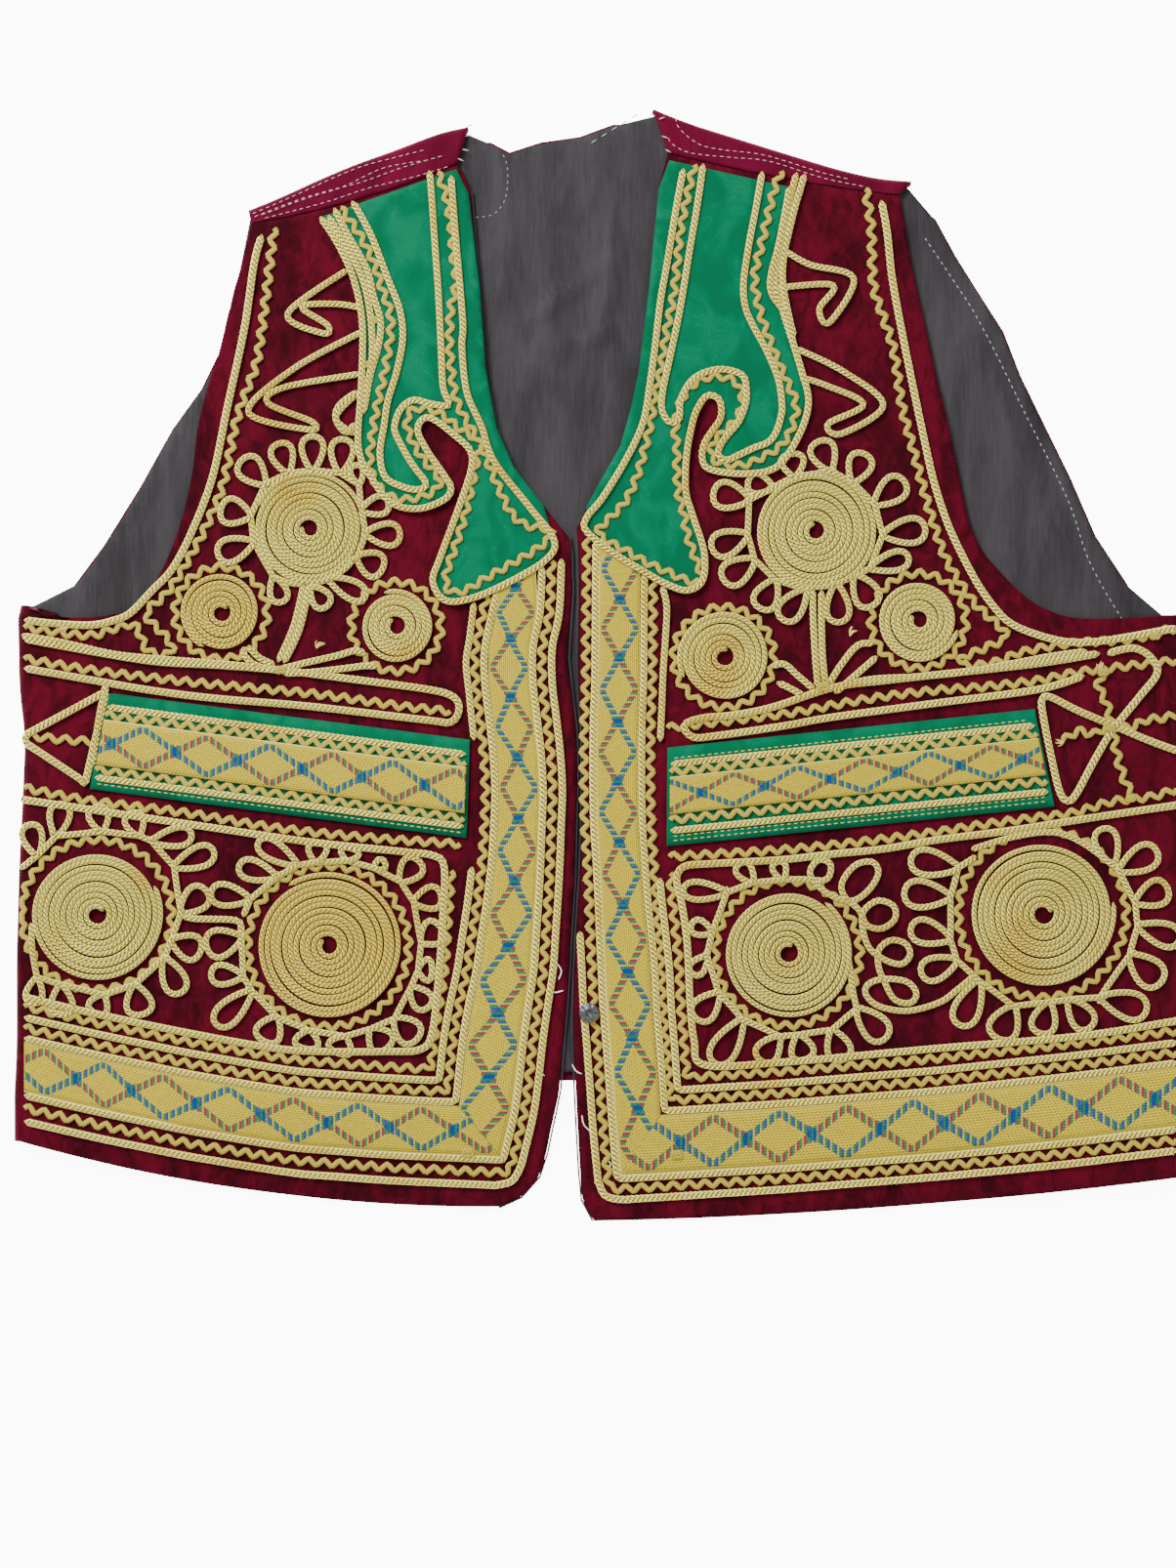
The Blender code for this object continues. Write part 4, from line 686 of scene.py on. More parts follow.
# Half the swing of a band's zigzags, their repeat and the length of two dashes
BAND_FIELD = 9.5
BAND_REPEAT = 54.0
DASH = 2.84
# Places where the zigzags of each band cross: heights on the fronts, distances across elsewhere
CROSSINGS = {
    "left_front": (35.2, 11.8, -13.8, -41.5, -68.2, -96.9, -125.2, -155.8, -184.1, -212),
    "right_front": (29.9, 3.3, -25, -52.2, -78.8, -107.5, -137, -166.4, -198.2),
    "left_hem": (-262, -234.6, -209.5, -181.1, -151.4, -122.4, -94.1, -66, -38),
    "right_hem": (7, 36.2, 65, 94.9, 125, 153.8, 184.5, 216.3, 247.5),
    "left_pocket": (-218, -190, -161.7, -133.3, -106.2, -78.8),
    "right_pocket": (44.7, 73.7, 102.1, 133, 160.1, 188.5),
}
# The patterns that begin one crossing later than the others
FIRST_CROSSING = {"left_hem": 1, "left_pocket": 1}
# Widths of the cords, the gap between two turns of a rosette, and heights of cords lower than the rest
CORD, LAPEL_CORD, LOOP_CORD = 3.3, 3.0, 2.8
COIL_GAP = 0.4
LOOP_HEIGHT, LINK_RISE, POCKET_CORD_HEIGHT = 1.7, 0.35, 1.5
# A short cord and a ric-rac tape beside the triangle at the left side
LEFT_STEM = ((-220.9, -8.1), (-224.4, -25), (-227.5, -45.5))
LEFT_MOTIF_TAPE = ((-256.1, -31.5), (-240, -33.2), (-226.2, -34.1))
# Short stitches over the necks of the shoulder strips: where each starts, and its reach
NECK_WHIPS = {
    "left": (
        ((-60, 241), (3, 1.5)), ((-60.5, 237), (3, 0.5)), ((-62, 231), (3, -0.5)),
        ((-64, 227), (2.6, -1.2)),
    ),
    "right": (((26, 244.5), (2.8, 1)), ((27.3, 237), (2.8, -1)), ((28.8, 231), (2.6, -1.4))),
}
# Stitches on the lining: line, length of a stitch, gap and width of thread
LINING_SEAMS = (("arm_right", 1.7, 1.5, 0.5), ("patch", 1.4, 1.6, 0.4), ("running", 3.2, 2.2, 0.6))
# Knots in the ric-rac and their size; frayed cord ends and the way they point
KNOTS = (
    (-59.4, -218.5, 4.2), (33.9, -219.3, 4.0), (99.4, -9.9, 4.6), (-143, -2.2, 3.6), (-101.6, 154.2, 3.0),
    (-103, 134.4, 3.0), (224.4, -3.3, 3.4), (227.8, -28, 3.0), (247.3, 13, 3.2), (236.7, -59.6, 3.0),
)
FRAYS = ((111.3, 13, 70), (207.2, -33.7, 190), (224.4, -2.5, 110), (-127, 7.5, 60), (-238, 17, 200))

# How each rosette is coiled, counted and judged in the photo
ROSETTE_LOOKS = ("name", "turns", "hole", "wobble", "spin", "squash", "ring", "tinted", "shift_x", "grow")
ROSETTE_MORE = {row[0]: dict(zip(ROSETTE_LOOKS, row)) for row in (
    ("rosette_hem_left_side", 10, 3.4, 0.12, 0.5, 0.98, 33.6, 0, 0, 0.6),
    ("rosette_hem_left_centre", 11, 3.4, 0.12, 2.2, 1.0, 36.0, 1, 0, 0.6),
    ("rosette_hem_right_centre", 10, 3.6, 0.12, 1.0, 1.0, 32.4, 0, 0, 0.6),
    ("rosette_hem_right_side", 11, 3.6, 0.12, 0.2, 1.0, 37.5, 0, -0.6, 0.8),
    ("rosette_chest_left", 9, 3.2, 0.1, 2.8, 1.0, 0, 0, 0, 0.4),
    ("rosette_chest_right", 9, 3.2, 0.1, 1.6, 1.0, 0, 0, -2.4, 0.6),
    ("rosette_small_left_side", 5.6, 3.2, 0.1, 0.6, 1.0, 20.6, 1, 0, 1.6),
    ("rosette_small_left_centre", 5.0, 3.4, 0.1, 2.0, 1.0, 20.0, 0, 0, 1.6),
    ("rosette_small_right_centre", 6.4, 3.4, 0.1, 1.1, 1.0, 22.4, 0, 0, 1.6),
    ("rosette_small_right_side", 5.6, 3.2, 0.1, 2.4, 1.0, 21.2, 0, -2.2, 2.2),
)}
# The press snap from its middle out, as radius and height, and the notches in its flange
SNAP_PROFILE = (
    (0.01, 0.9), (1.0, 0.85), (1.35, 1.0), (1.5, 2.0), (1.75, 2.2), (2.1, 2.05), (2.5, 1.5), (3.2, 1.3),
    (3.9, 1.15), (4.35, 0.9), (4.4, 0.5), (4.3, 0.0), (0.01, 0.0),
)
NOTCHES, NOTCH_DEPTH, NOTCH_NEAR, NOTCH_FAR = 5, 0.45, 2.4, 4.0
# Ric-rac beside the straight trims, in the columns of the cord trims
RICRAC_TRIMS = {
    "left": (
        ("edge_tape", 31.0, 4.4, 4.4, 5.8), ("inner_tape", 16.0, 34.3, 40.2, 41.6),
        ("panel_tape", -92.0, 48.6, 48.6, 51.3),
    ),
    "right": (
        ("edge_tape", 50.0, 4.7, 4.6, 4.7), ("inner_tape", 30.0, 34.3, 35.6, 43.7),
        ("panel_tape", -93.0, 41.4, 43.6, 53.4),
    ),
}


def ease(share):
    share = np.clip(share, 0.0, 1.0)
    return share * share * (3 - 2 * share)


RIDGES = [dict(zip(FOLD_COLUMNS, row)) for row in FOLDS]
# Soft creases pressed into the velvet and into the lining
CREASES = [dict(zip(FOLD_COLUMNS, row)) for row in (
    (-215, 40, 55, 60, 16, -0.35),
    (-150, 100, 78, 120, 22, 0.3),
    (-118, 128, 40, 70, 14, -0.3),
    (-190, -205, 10, 90, 14, 0.3),
    (-30, -90, 88, 160, 12, 0.3),
    (150, 120, 100, 120, 22, 0.3),
    (118, 140, 150, 60, 12, -0.3),
    (215, 25, 20, 70, 16, 0.3),
    (225, -60, 75, 80, 18, -0.3),
    (120, -220, 172, 130, 14, 0.3),
)]
LINING_CREASES = [dict(zip(FOLD_COLUMNS, row)) for row in (
    (-18, 165, 37, 84, 11, 2.1),
    (-4, 147, 20, 50, 9, 1.5),
    (-18, 208, 77, 64, 9, 2.1),
    (-24, 175, 100, 130, 10, 1.3),
    (2, 165, 72, 110, 14, 1.3),
    (-36, 150, 118, 90, 9, -1.3),
    (-12, 200, 62, 70, 8, 1.1),
    (10, 205, 110, 60, 8, -0.8),
    (-8, 110, 88, 60, 12, 0.9),
    (-195, 95, 66, 90, 12, 0.9),
    (-212, 62, 48, 70, 10, -0.8),
    (-225, 52, 20, 50, 9, 0.9),
    (178, 130, 118, 120, 14, 0.9),
    (195, 80, 128, 110, 12, -0.8),
    (165, 165, 100, 90, 10, 0.8),
    (210, 50, 140, 70, 12, 0.9),
)]


def ridge(x, y, fold):
    turn = math.radians(fold["turn"])
    dx, dy = x - fold["x"], y - fold["y"]
    along = (dx * math.cos(turn) + dy * math.sin(turn)) / (fold["length"] / 2)
    across = (dy * math.cos(turn) - dx * math.sin(turn)) / (fold["width"] / 2)
    inside = (np.abs(along) < 1) & (np.abs(across) < 1)
    return np.where(inside, fold["height"] * (1 - along ** 2) ** 2 * (1 - across ** 2) ** 2, 0.0)


def back_hem(x):
    return BACK_HEM_MIDDLE - BACK_HEM_SWEEP * (x / BACK_HEM_HALF) ** 2


def top(x, y):
    """Height of a front's upper face, creases included."""
    x, y = np.asarray(x, float), np.asarray(y, float)
    side = SIDE_X - np.abs(x)
    past_hem = ease((back_hem(x) - SINK_START - y) / SINK_LENGTH)
    off_side = ease((side - SINK_SIDE_NEAR) / (SINK_SIDE_FAR - SINK_SIDE_NEAR))
    bulge = FOLD_BULGE * (1 - ease((side - BULGE_NEAR) / (BULGE_FAR - BULGE_NEAR)))
    folds = sum(ridge(x, y, fold) for fold in RIDGES + CREASES)
    return FRONT_TOP + bulge + folds - FRONT_BASE * past_hem * off_side


def lining_top(x, y):
    x, y = np.asarray(x, float), np.asarray(y, float)
    waves = 0.18 * np.sin(x * 0.11 + 0.05 * y) * np.sin(y * 0.07 - 0.04 * x)
    return LINING_BASE + LINING_THICK + waves + sum(ridge(x, y, fold) for fold in LINING_CREASES)


def curve(a, b, c, d, t):
    """The point a share t of the way from b to c, on a smooth line through all four."""
    return 0.5 * (2 * b + (c - a) * t + (2 * a - 5 * b + 4 * c - d) * t * t
                  + (3 * b - a - 3 * c + d) * t ** 3)


def smooth(points, step=2.0):
    """An evenly stepped smooth line through given points."""
    points = np.asarray(points, float)
    count = len(points)
    found = []
    for i in range(count - 1):
        index = [min(count - 1, max(0, i + k)) for k in (-1, 0, 1, 2)]
        a, b, c, d = points[index]
        t = np.linspace(0, 1, max(3, int(np.linalg.norm(c - b) / 0.8)), endpoint=False)[:, None]
        found.append(curve(a, b, c, d, t))
    found.append(points[-1:])
    return even(np.concatenate(found), step)


def lengths_along(line):
    """How far along a line each of its points lies."""
    return np.concatenate([[0], np.cumsum(np.linalg.norm(np.diff(line, axis=0), axis=1))])


def points_at(line, wanted):
    lengths = lengths_along(line)
    return np.stack([np.interp(wanted, lengths, line[:, k]) for k in range(line.shape[1])], axis=1)


def resampled(line, count):
    """A line as a given number of evenly spaced points."""
    line = np.asarray(line, float)
    return points_at(line, np.linspace(0, lengths_along(line)[-1], count))


def even(line, step):
    """A line as evenly spaced points about a step apart."""
    line = np.asarray(line, float)
    return resampled(line, max(2, int(round(lengths_along(line)[-1] / step)) + 1))


def sideways(line):
    """Unit vectors to the left of a line."""
    ahead = np.gradient(line[:, :2], axis=0)
    ahead /= np.maximum(1e-9, np.linalg.norm(ahead, axis=1))[:, None]
    return np.stack([-ahead[:, 1], ahead[:, 0]], axis=1)


# How far out a cord's middle may lie: the velvet turns under beyond it
SIDE_REACH = 258.6


class Piece:
    """Gathers points in millimetres, faces and UVs, then becomes one object."""

    def __init__(self, name, finish, slot, *nodes):
        self.name, self.finish, self.slot, self.nodes = name, finish, slot, nodes
        self.points, self.uvs, self.faces, self.count = [], [], [], 0

    def add(self, points, uvs, faces):
        self.points.append(np.asarray(points, float))
        self.uvs.append(np.asarray(uvs, float))
        self.faces.append(np.asarray(faces, int) + self.count)
        self.count += len(points)

    def grid(self, points, uvs):
        """points as rows x columns x 3."""
        rows, columns = points.shape[:2]
        index = np.arange(rows * columns).reshape(rows, columns)
        a, b, c, d = index[:-1, :-1], index[1:, :-1], index[1:, 1:], index[:-1, 1:]
        faces = np.stack([a, d, c, b], axis=-1).reshape(-1, 4)
        self.add(points.reshape(-1, 3), uvs.reshape(-1, 2), faces)

    def tube(self, line, width, height, base=LAY, sides=8, lift=None, start=0.0, tapered=True,
             ground=None):
        """A cord of oval section laid along a line."""
        line = np.array(line, float)
        line[:, 0] = np.clip(line[:, 0], -SIDE_REACH, SIDE_REACH)
        ground = ground or top
        lengths = lengths_along(line[:, :2])
        left = sideways(line)
        swell = np.ones(len(line))
        if tapered:
            reach = np.minimum(lengths, lengths[-1] - lengths)
            swell = np.sqrt(np.clip(reach / (0.45 * width), 0.04, 1))
        turns = np.linspace(-0.25, 0.75, sides + 1) * 2 * math.pi
        across = np.cos(turns)[None] * (width / 2) * swell[:, None]
        up = (np.sin(turns)[None] * swell[:, None] + 1) * height / 2 + base
        x = line[:, :1] + left[:, :1] * across
        y = line[:, 1:2] + left[:, 1:] * across
        z = ground(line[:, 0], line[:, 1])[:, None] + up
        if lift is not None:
            z = z + np.asarray(lift)[:, None]
        u = np.broadcast_to(np.linspace(0, 1, sides + 1)[None], x.shape)
        v = np.broadcast_to((lengths + start)[:, None], x.shape)
        self.grid(np.stack([x, y, z], axis=-1), np.stack([u, v], axis=-1))

    def ricrac(self, line, base=LAY, width=2.7, swing=1.5, period=7.1, thick=0.9, ground=None):
        """A wavy flat tape along a line."""
        line = even(line, 1.0)
        lengths = lengths_along(line)
        whole = max(1, round(lengths[-1] / period))
        wave = np.arcsin(0.94 * np.sin(2 * math.pi * lengths / lengths[-1] * whole)) / 1.2
        path = line + sideways(line) * (wave * swing)[:, None]
        self.tube(path, width, thick, base, sides=6, tapered=False, ground=ground)

    def make(self):
        points = np.concatenate(self.points) * MM
        uvs = np.concatenate(self.uvs)
        groups = [[tuple(face) for face in faces.tolist()] for faces in self.faces]
        mesh = bpy.data.meshes.new(self.name)
        mesh.from_pydata(points.tolist(), [], [face for group in groups for face in group])
        layer = mesh.uv_layers.new(name="cloth")
        corners = np.empty(len(mesh.loops), np.int32)
        mesh.loops.foreach_get("vertex_index", corners)
        layer.data.foreach_set("uv", uvs[corners].ravel())
        mesh.polygons.foreach_set("use_smooth", np.ones(len(mesh.polygons), bool))
        mesh.materials.append(self.finish)
        made = bpy.data.objects.new(self.name, mesh)
        bpy.context.scene.collection.objects.link(made)
        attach(made, "root")
        if self.nodes:
            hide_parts(*self.nodes)
        return made


def walled(made, thickness, offset=-1.0):
    wall = made.modifiers.new("wall", "SOLIDIFY")
    wall.thickness = thickness * MM
    wall.offset = offset
    return made


CLOTH_SHINE = 0.06


class Net:
    """A material's nodes, with sums written as calls."""

    def __init__(self, name, roughness=0.8, metallic=0.0):
        self.material = bpy.data.materials.new(name)
        self.material.use_nodes = True
        self.tree = self.material.node_tree
        self.shader = self.tree.nodes["Principled BSDF"]
        self.shader.inputs["Roughness"].default_value = roughness
        self.shader.inputs["Metallic"].default_value = metallic
        self.shader.inputs["Specular IOR Level"].default_value = 0.5 if metallic else CLOTH_SHINE

    def put(self, socket, value):
        if isinstance(value, bpy.types.NodeSocket):
            self.tree.links.new(value, socket)
        else:
            socket.default_value = value

    def math(self, kind, a, b=0.0, c=0.0):
        node = self.tree.nodes.new("ShaderNodeMath")
        node.operation = kind
        for socket, value in zip(node.inputs, (a, b, c)):
            self.put(socket, value)
        return node.outputs[0]

    def plus(self, a, b):
        return self.math("ADD", a, b)

    def minus(self, a, b):
        return self.math("SUBTRACT", a, b)

    def times(self, a, b):
        return self.math("MULTIPLY", a, b)

    def times_plus(self, a, b, c):
        return self.math("MULTIPLY_ADD", a, b, c)

    def absolute(self, a):
        return self.math("ABSOLUTE", a)

    def mix(self, share, a, b):
        node = self.tree.nodes.new("ShaderNodeMix")
        node.data_type = "RGBA"
        self.put(node.inputs[0], share)
        for socket, value in ((node.inputs[6], a), (node.inputs[7], b)):
            self.put(socket, value if isinstance(value, bpy.types.NodeSocket) else (*value, 1))
        return node.outputs[2]

    def step(self, value, low, high):
        node = self.tree.nodes.new("ShaderNodeMapRange")
        node.interpolation_type = "SMOOTHSTEP"
        for socket, given in zip(node.inputs[:3], (value, low, high)):
            self.put(socket, given)
        return node.outputs[0]

    def place(self, scale=(1, 1, 1), turn=0.0):
        """Object coordinates in millimetres."""
        where = self.tree.nodes.new("ShaderNodeTexCoord")
        node = self.tree.nodes.new("ShaderNodeMapping")
        node.inputs["Scale"].default_value = [k / MM for k in scale]
        node.inputs["Rotation"].default_value = (0, 0, turn)
        self.tree.links.new(where.outputs["Object"], node.inputs["Vector"])
        return node.outputs[0]

    def noise(self, where, scale, detail=3.0, distortion=0.0):
        node = self.tree.nodes.new("ShaderNodeTexNoise")
        self.put(node.inputs["Vector"], where)
        node.inputs["Scale"].default_value = scale
        node.inputs["Detail"].default_value = detail
        node.inputs["Distortion"].default_value = distortion
        return node.outputs[0]

    def uv(self):
        node = self.tree.nodes.new("ShaderNodeUVMap")
        node.uv_map = "cloth"
        split = self.tree.nodes.new("ShaderNodeSeparateXYZ")
        self.tree.links.new(node.outputs[0], split.inputs[0])
        return split.outputs[0], split.outputs[1]

    def wave(self, value, period):
        """0 to 1 and back for each period."""
        swing = self.math("SINE", self.times(value, 2 * math.pi / period))
        return self.times_plus(swing, 0.5, 0.5)

    def triangle(self, value, period):
        """0 to 1 and back in straight lines."""
        return self.math("PINGPONG", self.math("DIVIDE", value, period / 2), 1.0)

    def bump(self, height, depth):
        node = self.tree.nodes.new("ShaderNodeBump")
        node.inputs["Distance"].default_value = depth * MM
        self.put(node.inputs["Height"], height)
        self.tree.links.new(node.outputs[0], self.shader.inputs["Normal"])

    def colour(self, value):
        given = value if isinstance(value, bpy.types.NodeSocket) else (*value, 1)
        self.put(self.shader.inputs["Base Color"], given)

    def sheen(self, weight, tint, roughness=0.4):
        self.shader.inputs["Sheen Weight"].default_value = weight
        self.shader.inputs["Sheen Tint"].default_value = (*tint, 1)
        self.shader.inputs["Sheen Roughness"].default_value = roughness


def velvet_look():
    net = Net("velvet_burgundy", 0.9)
    broad = net.noise(net.place((0.05, 0.018, 0.05), 0.5), 1.0, 3, 0.6)
    crush = net.noise(net.place((0.16, 0.09, 0.16), -0.4), 1.0, 4, 1.2)
    pile = net.noise(net.place((2.2, 1.1, 2.2)), 1.0, 2)
    tone = net.plus(net.times(broad, 0.5), net.times(crush, 0.5))
    shade = net.step(net.plus(tone, net.times(net.minus(pile, 0.5), 0.16)), 0.34, 0.66)
    net.colour(net.mix(shade, (0.020, 0.0002, 0.0024), (0.066, 0.0013, 0.0080)))
    net.bump(net.plus(net.times(crush, 2.2), net.times(pile, 0.3)), 0.35)
    net.sheen(0.04, (0.9, 0.1, 0.25), 0.35)
    return net.material


def green_look():
    net = Net("velvet_green", 0.85)
    broad = net.noise(net.place((0.07, 0.05, 0.07)), 1.0, 3, 0.8)
    specks = net.noise(net.place((1.1, 1.1, 1.1)), 1.0, 2)
    shade = net.mix(net.step(broad, 0.35, 0.68), (0.0, 0.072, 0.030), (0.0, 0.100, 0.046))
    light = net.times(net.step(specks, 0.62, 0.74), net.step(broad, 0.42, 0.6))
    net.colour(net.mix(net.times(light, 0.14), shade, (0.01, 0.40, 0.25)))
    net.bump(net.plus(broad, net.times(specks, 0.3)), 0.3)
    net.sheen(0.03, (0.1, 1.0, 0.6))
    return net.material


def woven_cloth(name, dark, light, thread, folds=0.5):
    net = Net(name, 0.85)
    where = net.tree.nodes.new("ShaderNodeSeparateXYZ")
    net.put(where.inputs[0], net.place())
    warp, weft = net.wave(where.outputs[0], thread), net.wave(where.outputs[1], thread)
    slub = net.noise(net.place((0.9, 0.08, 0.9)), 1.0, 3)
    cross = net.noise(net.place((0.08, 0.9, 0.9)), 1.0, 3)
    # Soft folds: their height makes the bump below, and the colour also uses it as painted shade
    fold = net.noise(net.place((0.07, 0.016, 0.05), 0.3), 1.0, 3, 0.5)
    weave = net.plus(net.times(slub, 0.4), net.times(cross, 0.1))
    # The colour follows the fold noise: lighter on the soft folds' crests and darker in their hollows, which
    # is painted shade. The slub and cross noise are the cloth's own uneven tone.
    net.colour(net.mix(net.step(net.plus(weave, net.times(fold, 0.9)), 0.35, 1.05), dark, light))
    fine = net.times(net.plus(warp, weft), 0.12)
    height = net.plus(net.plus(fine, net.times(weave, 0.3)), net.times(fold, folds * 10))
    net.bump(height, 0.3)
    return net.material


def cord_look(name, pale, shadow, orange):
    """A flat plait: V is millimetres along it, U runs once round it."""
    net = Net(name, 0.55)
    u, v = net.uv()
    off = net.absolute(net.minus(net.math("PINGPONG", net.times(u, 2.0), 1.0), 0.5))
    middle = net.absolute(net.minus(u, 0.5))
    slant = net.times_plus(middle, 9.0, v)
    strand = net.wave(slant, 2.2)
    groove = net.step(middle, 0.0, 0.03)
    flat = net.step(off, 0.36, 0.28)
    staggered = net.times_plus(u, 7.5, v)
    rows = net.step(net.absolute(net.minus(middle, 0.065)), 0.07, 0.04)
    speck = net.times(net.step(net.wave(staggered, 2.2), 0.4, 0.65), rows)
    dirt = net.noise(net.place((0.03, 0.03, 0.03)), 1.0, 2)
    hue = net.mix(net.times(net.step(dirt, 0.52, 0.72), 0.5), pale, orange)
    body = net.mix(net.times(net.minus(1.0, net.times(strand, groove)), 0.5), hue, shadow)
    net.colour(net.mix(net.times(speck, 0.85), body, tuple(0.7 * k for k in shadow)))
    net.put(net.shader.inputs["Specular IOR Level"], net.times(flat, 0.2))
    net.bump(net.times(strand, groove), 0.6)
    return net.material


def tape_look():
    """Ric-rac: five threads side by side with pale edges."""
    net = Net("ricrac_gold", 0.6)
    u, v = net.uv()
    threads = net.wave(u, 0.1)
    twist = net.wave(net.times_plus(u, 8.0, v), 1.1)
    edge = net.step(net.absolute(net.minus(u, 0.5)), 0.15, 0.24)
    shade = net.times(net.plus(threads, twist), 0.5)
    ground = net.mix(shade, (0.12, 0.075, 0.004), (0.62, 0.50, 0.08))
    net.colour(net.mix(net.times(edge, 0.55), ground, (0.74, 0.56, 0.11)))
    net.bump(shade, 0.25)
    return net.material


def band_look():
    """Gold herringbone with two crossing zigzags of coloured dashes. U and V are millimetres."""
    net = Net("band_woven", 0.6)
    u, v = net.uv()
    width, repeat = BAND_FIELD, BAND_REPEAT
    middle = net.absolute(u)
    chevron = net.times_plus(net.triangle(u, 3.2), 1.7, v)
    rib = net.wave(chevron, 1.5)
    thread = net.wave(u, 1.07)
    weave = net.times(net.plus(rib, thread), 0.5)
    slub = net.noise(net.place((0.7, 0.7, 0.7)), 1.0, 2)
    lit = net.times_plus(slub, 0.35, net.times(weave, 0.75))
    ground = net.mix(lit, (0.09, 0.06, 0.001), (0.60, 0.47, 0.035))
    swing = net.times_plus(net.triangle(v, repeat), 2 * width, -width)
    pair = net.math("FRACT", net.math("DIVIDE", v, DASH))
    dash = net.math("LESS_THAN", pair, 0.76)
    later = net.math("GREATER_THAN", pair, 0.38)
    inside = net.step(middle, width + 1.0, width + 0.4)
    colour = ground
    meeting = net.step(net.absolute(swing), 1.7, 0.7)
    reach = net.times_plus(meeting, 0.8, 1.85)
    for sign, pair_colours in ((-1.0, (PINK, GREEN)), (1.0, (GREEN, BLUE))):
        away = net.absolute(net.minus(u, net.times(swing, sign)))
        near = net.step(net.minus(away, reach), 0.2, -0.1)
        line = net.times(near, net.times(net.math("MAXIMUM", dash, meeting), inside))
        thread_colour = net.mix(later, *pair_colours)
        colour = net.mix(net.times(line, 0.93), colour, thread_colour)
    selvedge = net.step(middle, width + 1.2, width + 1.5)
    ribs = net.wave(u, 1.3)
    colour = net.mix(selvedge, colour, net.mix(ribs, (0.22, 0.15, 0.01), (0.84, 0.70, 0.19)))
    net.colour(colour)
    net.bump(net.plus(weave, net.times(selvedge, ribs)), 0.3)
    return net.material


def plain(name, colour, roughness=0.7, metallic=0.0):
    net = Net(name, roughness, metallic)
    net.colour(colour)
    return net.material


BLUE, GREEN, PINK = (0.0, 0.028, 0.17), (0.0, 0.115, 0.048), (0.17, 0.003, 0.045)
velvet = velvet_look()
green = green_look()
cotton = woven_cloth("cotton_burgundy", (0.050, 0.0004, 0.0080), (0.088, 0.0012, 0.0165), 0.7, 0.4)
charcoal = woven_cloth("cotton_charcoal", (0.0165, 0.0148, 0.0162), (0.039, 0.036, 0.040), 0.9)
gold = cord_look("cord_gold", (0.97, 0.84, 0.19), (0.12, 0.078, 0.004), (0.74, 0.42, 0.03))
gold_orange = cord_look("cord_orange", (0.90, 0.70, 0.13), (0.13, 0.078, 0.004), (0.80, 0.45, 0.025))
tape = tape_look()
woven = band_look()
white_thread = plain("thread_white", (0.80, 0.78, 0.74))
seam_thread = plain("thread_seam", (0.52, 0.36, 0.36))
pale_thread = plain("thread_pale", (0.66, 0.46, 0.12))
grey_thread = plain("thread_grey", (0.30, 0.29, 0.31))
metal = plain("metal_grey", (0.085, 0.085, 0.095), 0.42, 0.85)


LEFT = [dict(zip(ROW_COLUMNS, row)) for row in LEFT_ROWS]
RIGHT = [dict(zip(ROW_COLUMNS, row)) for row in RIGHT_ROWS]
LEVELS = [24 - LEVEL_STEP * k for k in range(18)]
SIDES = (
    {
        "name": "left", "sign": -1, "rows": LEFT, "strip": LEFT_STRIP,
        "trims": {row[0]: dict(zip(TRIM_COLUMNS, row)) for row in LEFT_TRIMS},
        "edge_run": LEFT_EDGE_RUN, "widens": LEFT_WIDENS, "hem_run": LEFT_HEM_RUN, "band_top": LEFT_BAND_TOP,
        "levels": LEVELS, "stations": [-50 - STATION_STEP * k for k in range(13)],
        "lapel": LEFT_LAPEL, "lapel_neck": LEFT_LAPEL_NECK, "lapel_part": LEFT_LAPEL[:26],
        "pocket": LEFT_POCKET,
    },
    {
        "name": "right", "sign": 1, "rows": RIGHT, "strip": RIGHT_STRIP,
        "trims": {row[0]: dict(zip(TRIM_COLUMNS, row)) for row in RIGHT_TRIMS},
        "edge_run": RIGHT_EDGE_RUN, "widens": RIGHT_WIDENS, "hem_run": RIGHT_HEM_RUN,
        "band_top": RIGHT_BAND_TOP,
        "levels": LEVELS, "stations": [16 + STATION_STEP * k for k in range(15)],
        "lapel": RIGHT_LAPEL, "lapel_neck": RIGHT_LAPEL_NECK, "lapel_part": RIGHT_LAPEL[10:],
        "pocket": RIGHT_POCKET,
    },
)
# Steps between two sections of a front, points across it, and how far a lapel passes its neck edge
ROW_SHARES = 3
ACROSS = 84
LAPEL_OVER = 0.4
# Degrees turned at each line round a side fold
FINE_ANGLES = [12 * k for k in range(1, 16)]


def fine_rows(rows):
    """Sections between the given ones, so that a front's edges run smoothly."""
    keys = ROW_COLUMNS[:5]
    table = np.array([[row[key] for key in keys] for row in rows])
    found = []
    for i in range(len(rows) - 1):
        for k in range(ROW_SHARES):
            t = k / ROW_SHARES
            a, b, c, d = (table[min(len(rows) - 1, max(0, i + n))] for n in (-1, 0, 1, 2))
            line = curve(a, b, c, d, t)
            if rows[i]["folded"] != rows[i + 1]["folded"]:
                line = b + (c - b) * t
            row = dict(zip(keys, line))
            row["folded"] = rows[i]["folded"]
            found.append(row)
    found.append(rows[-1])
    return found


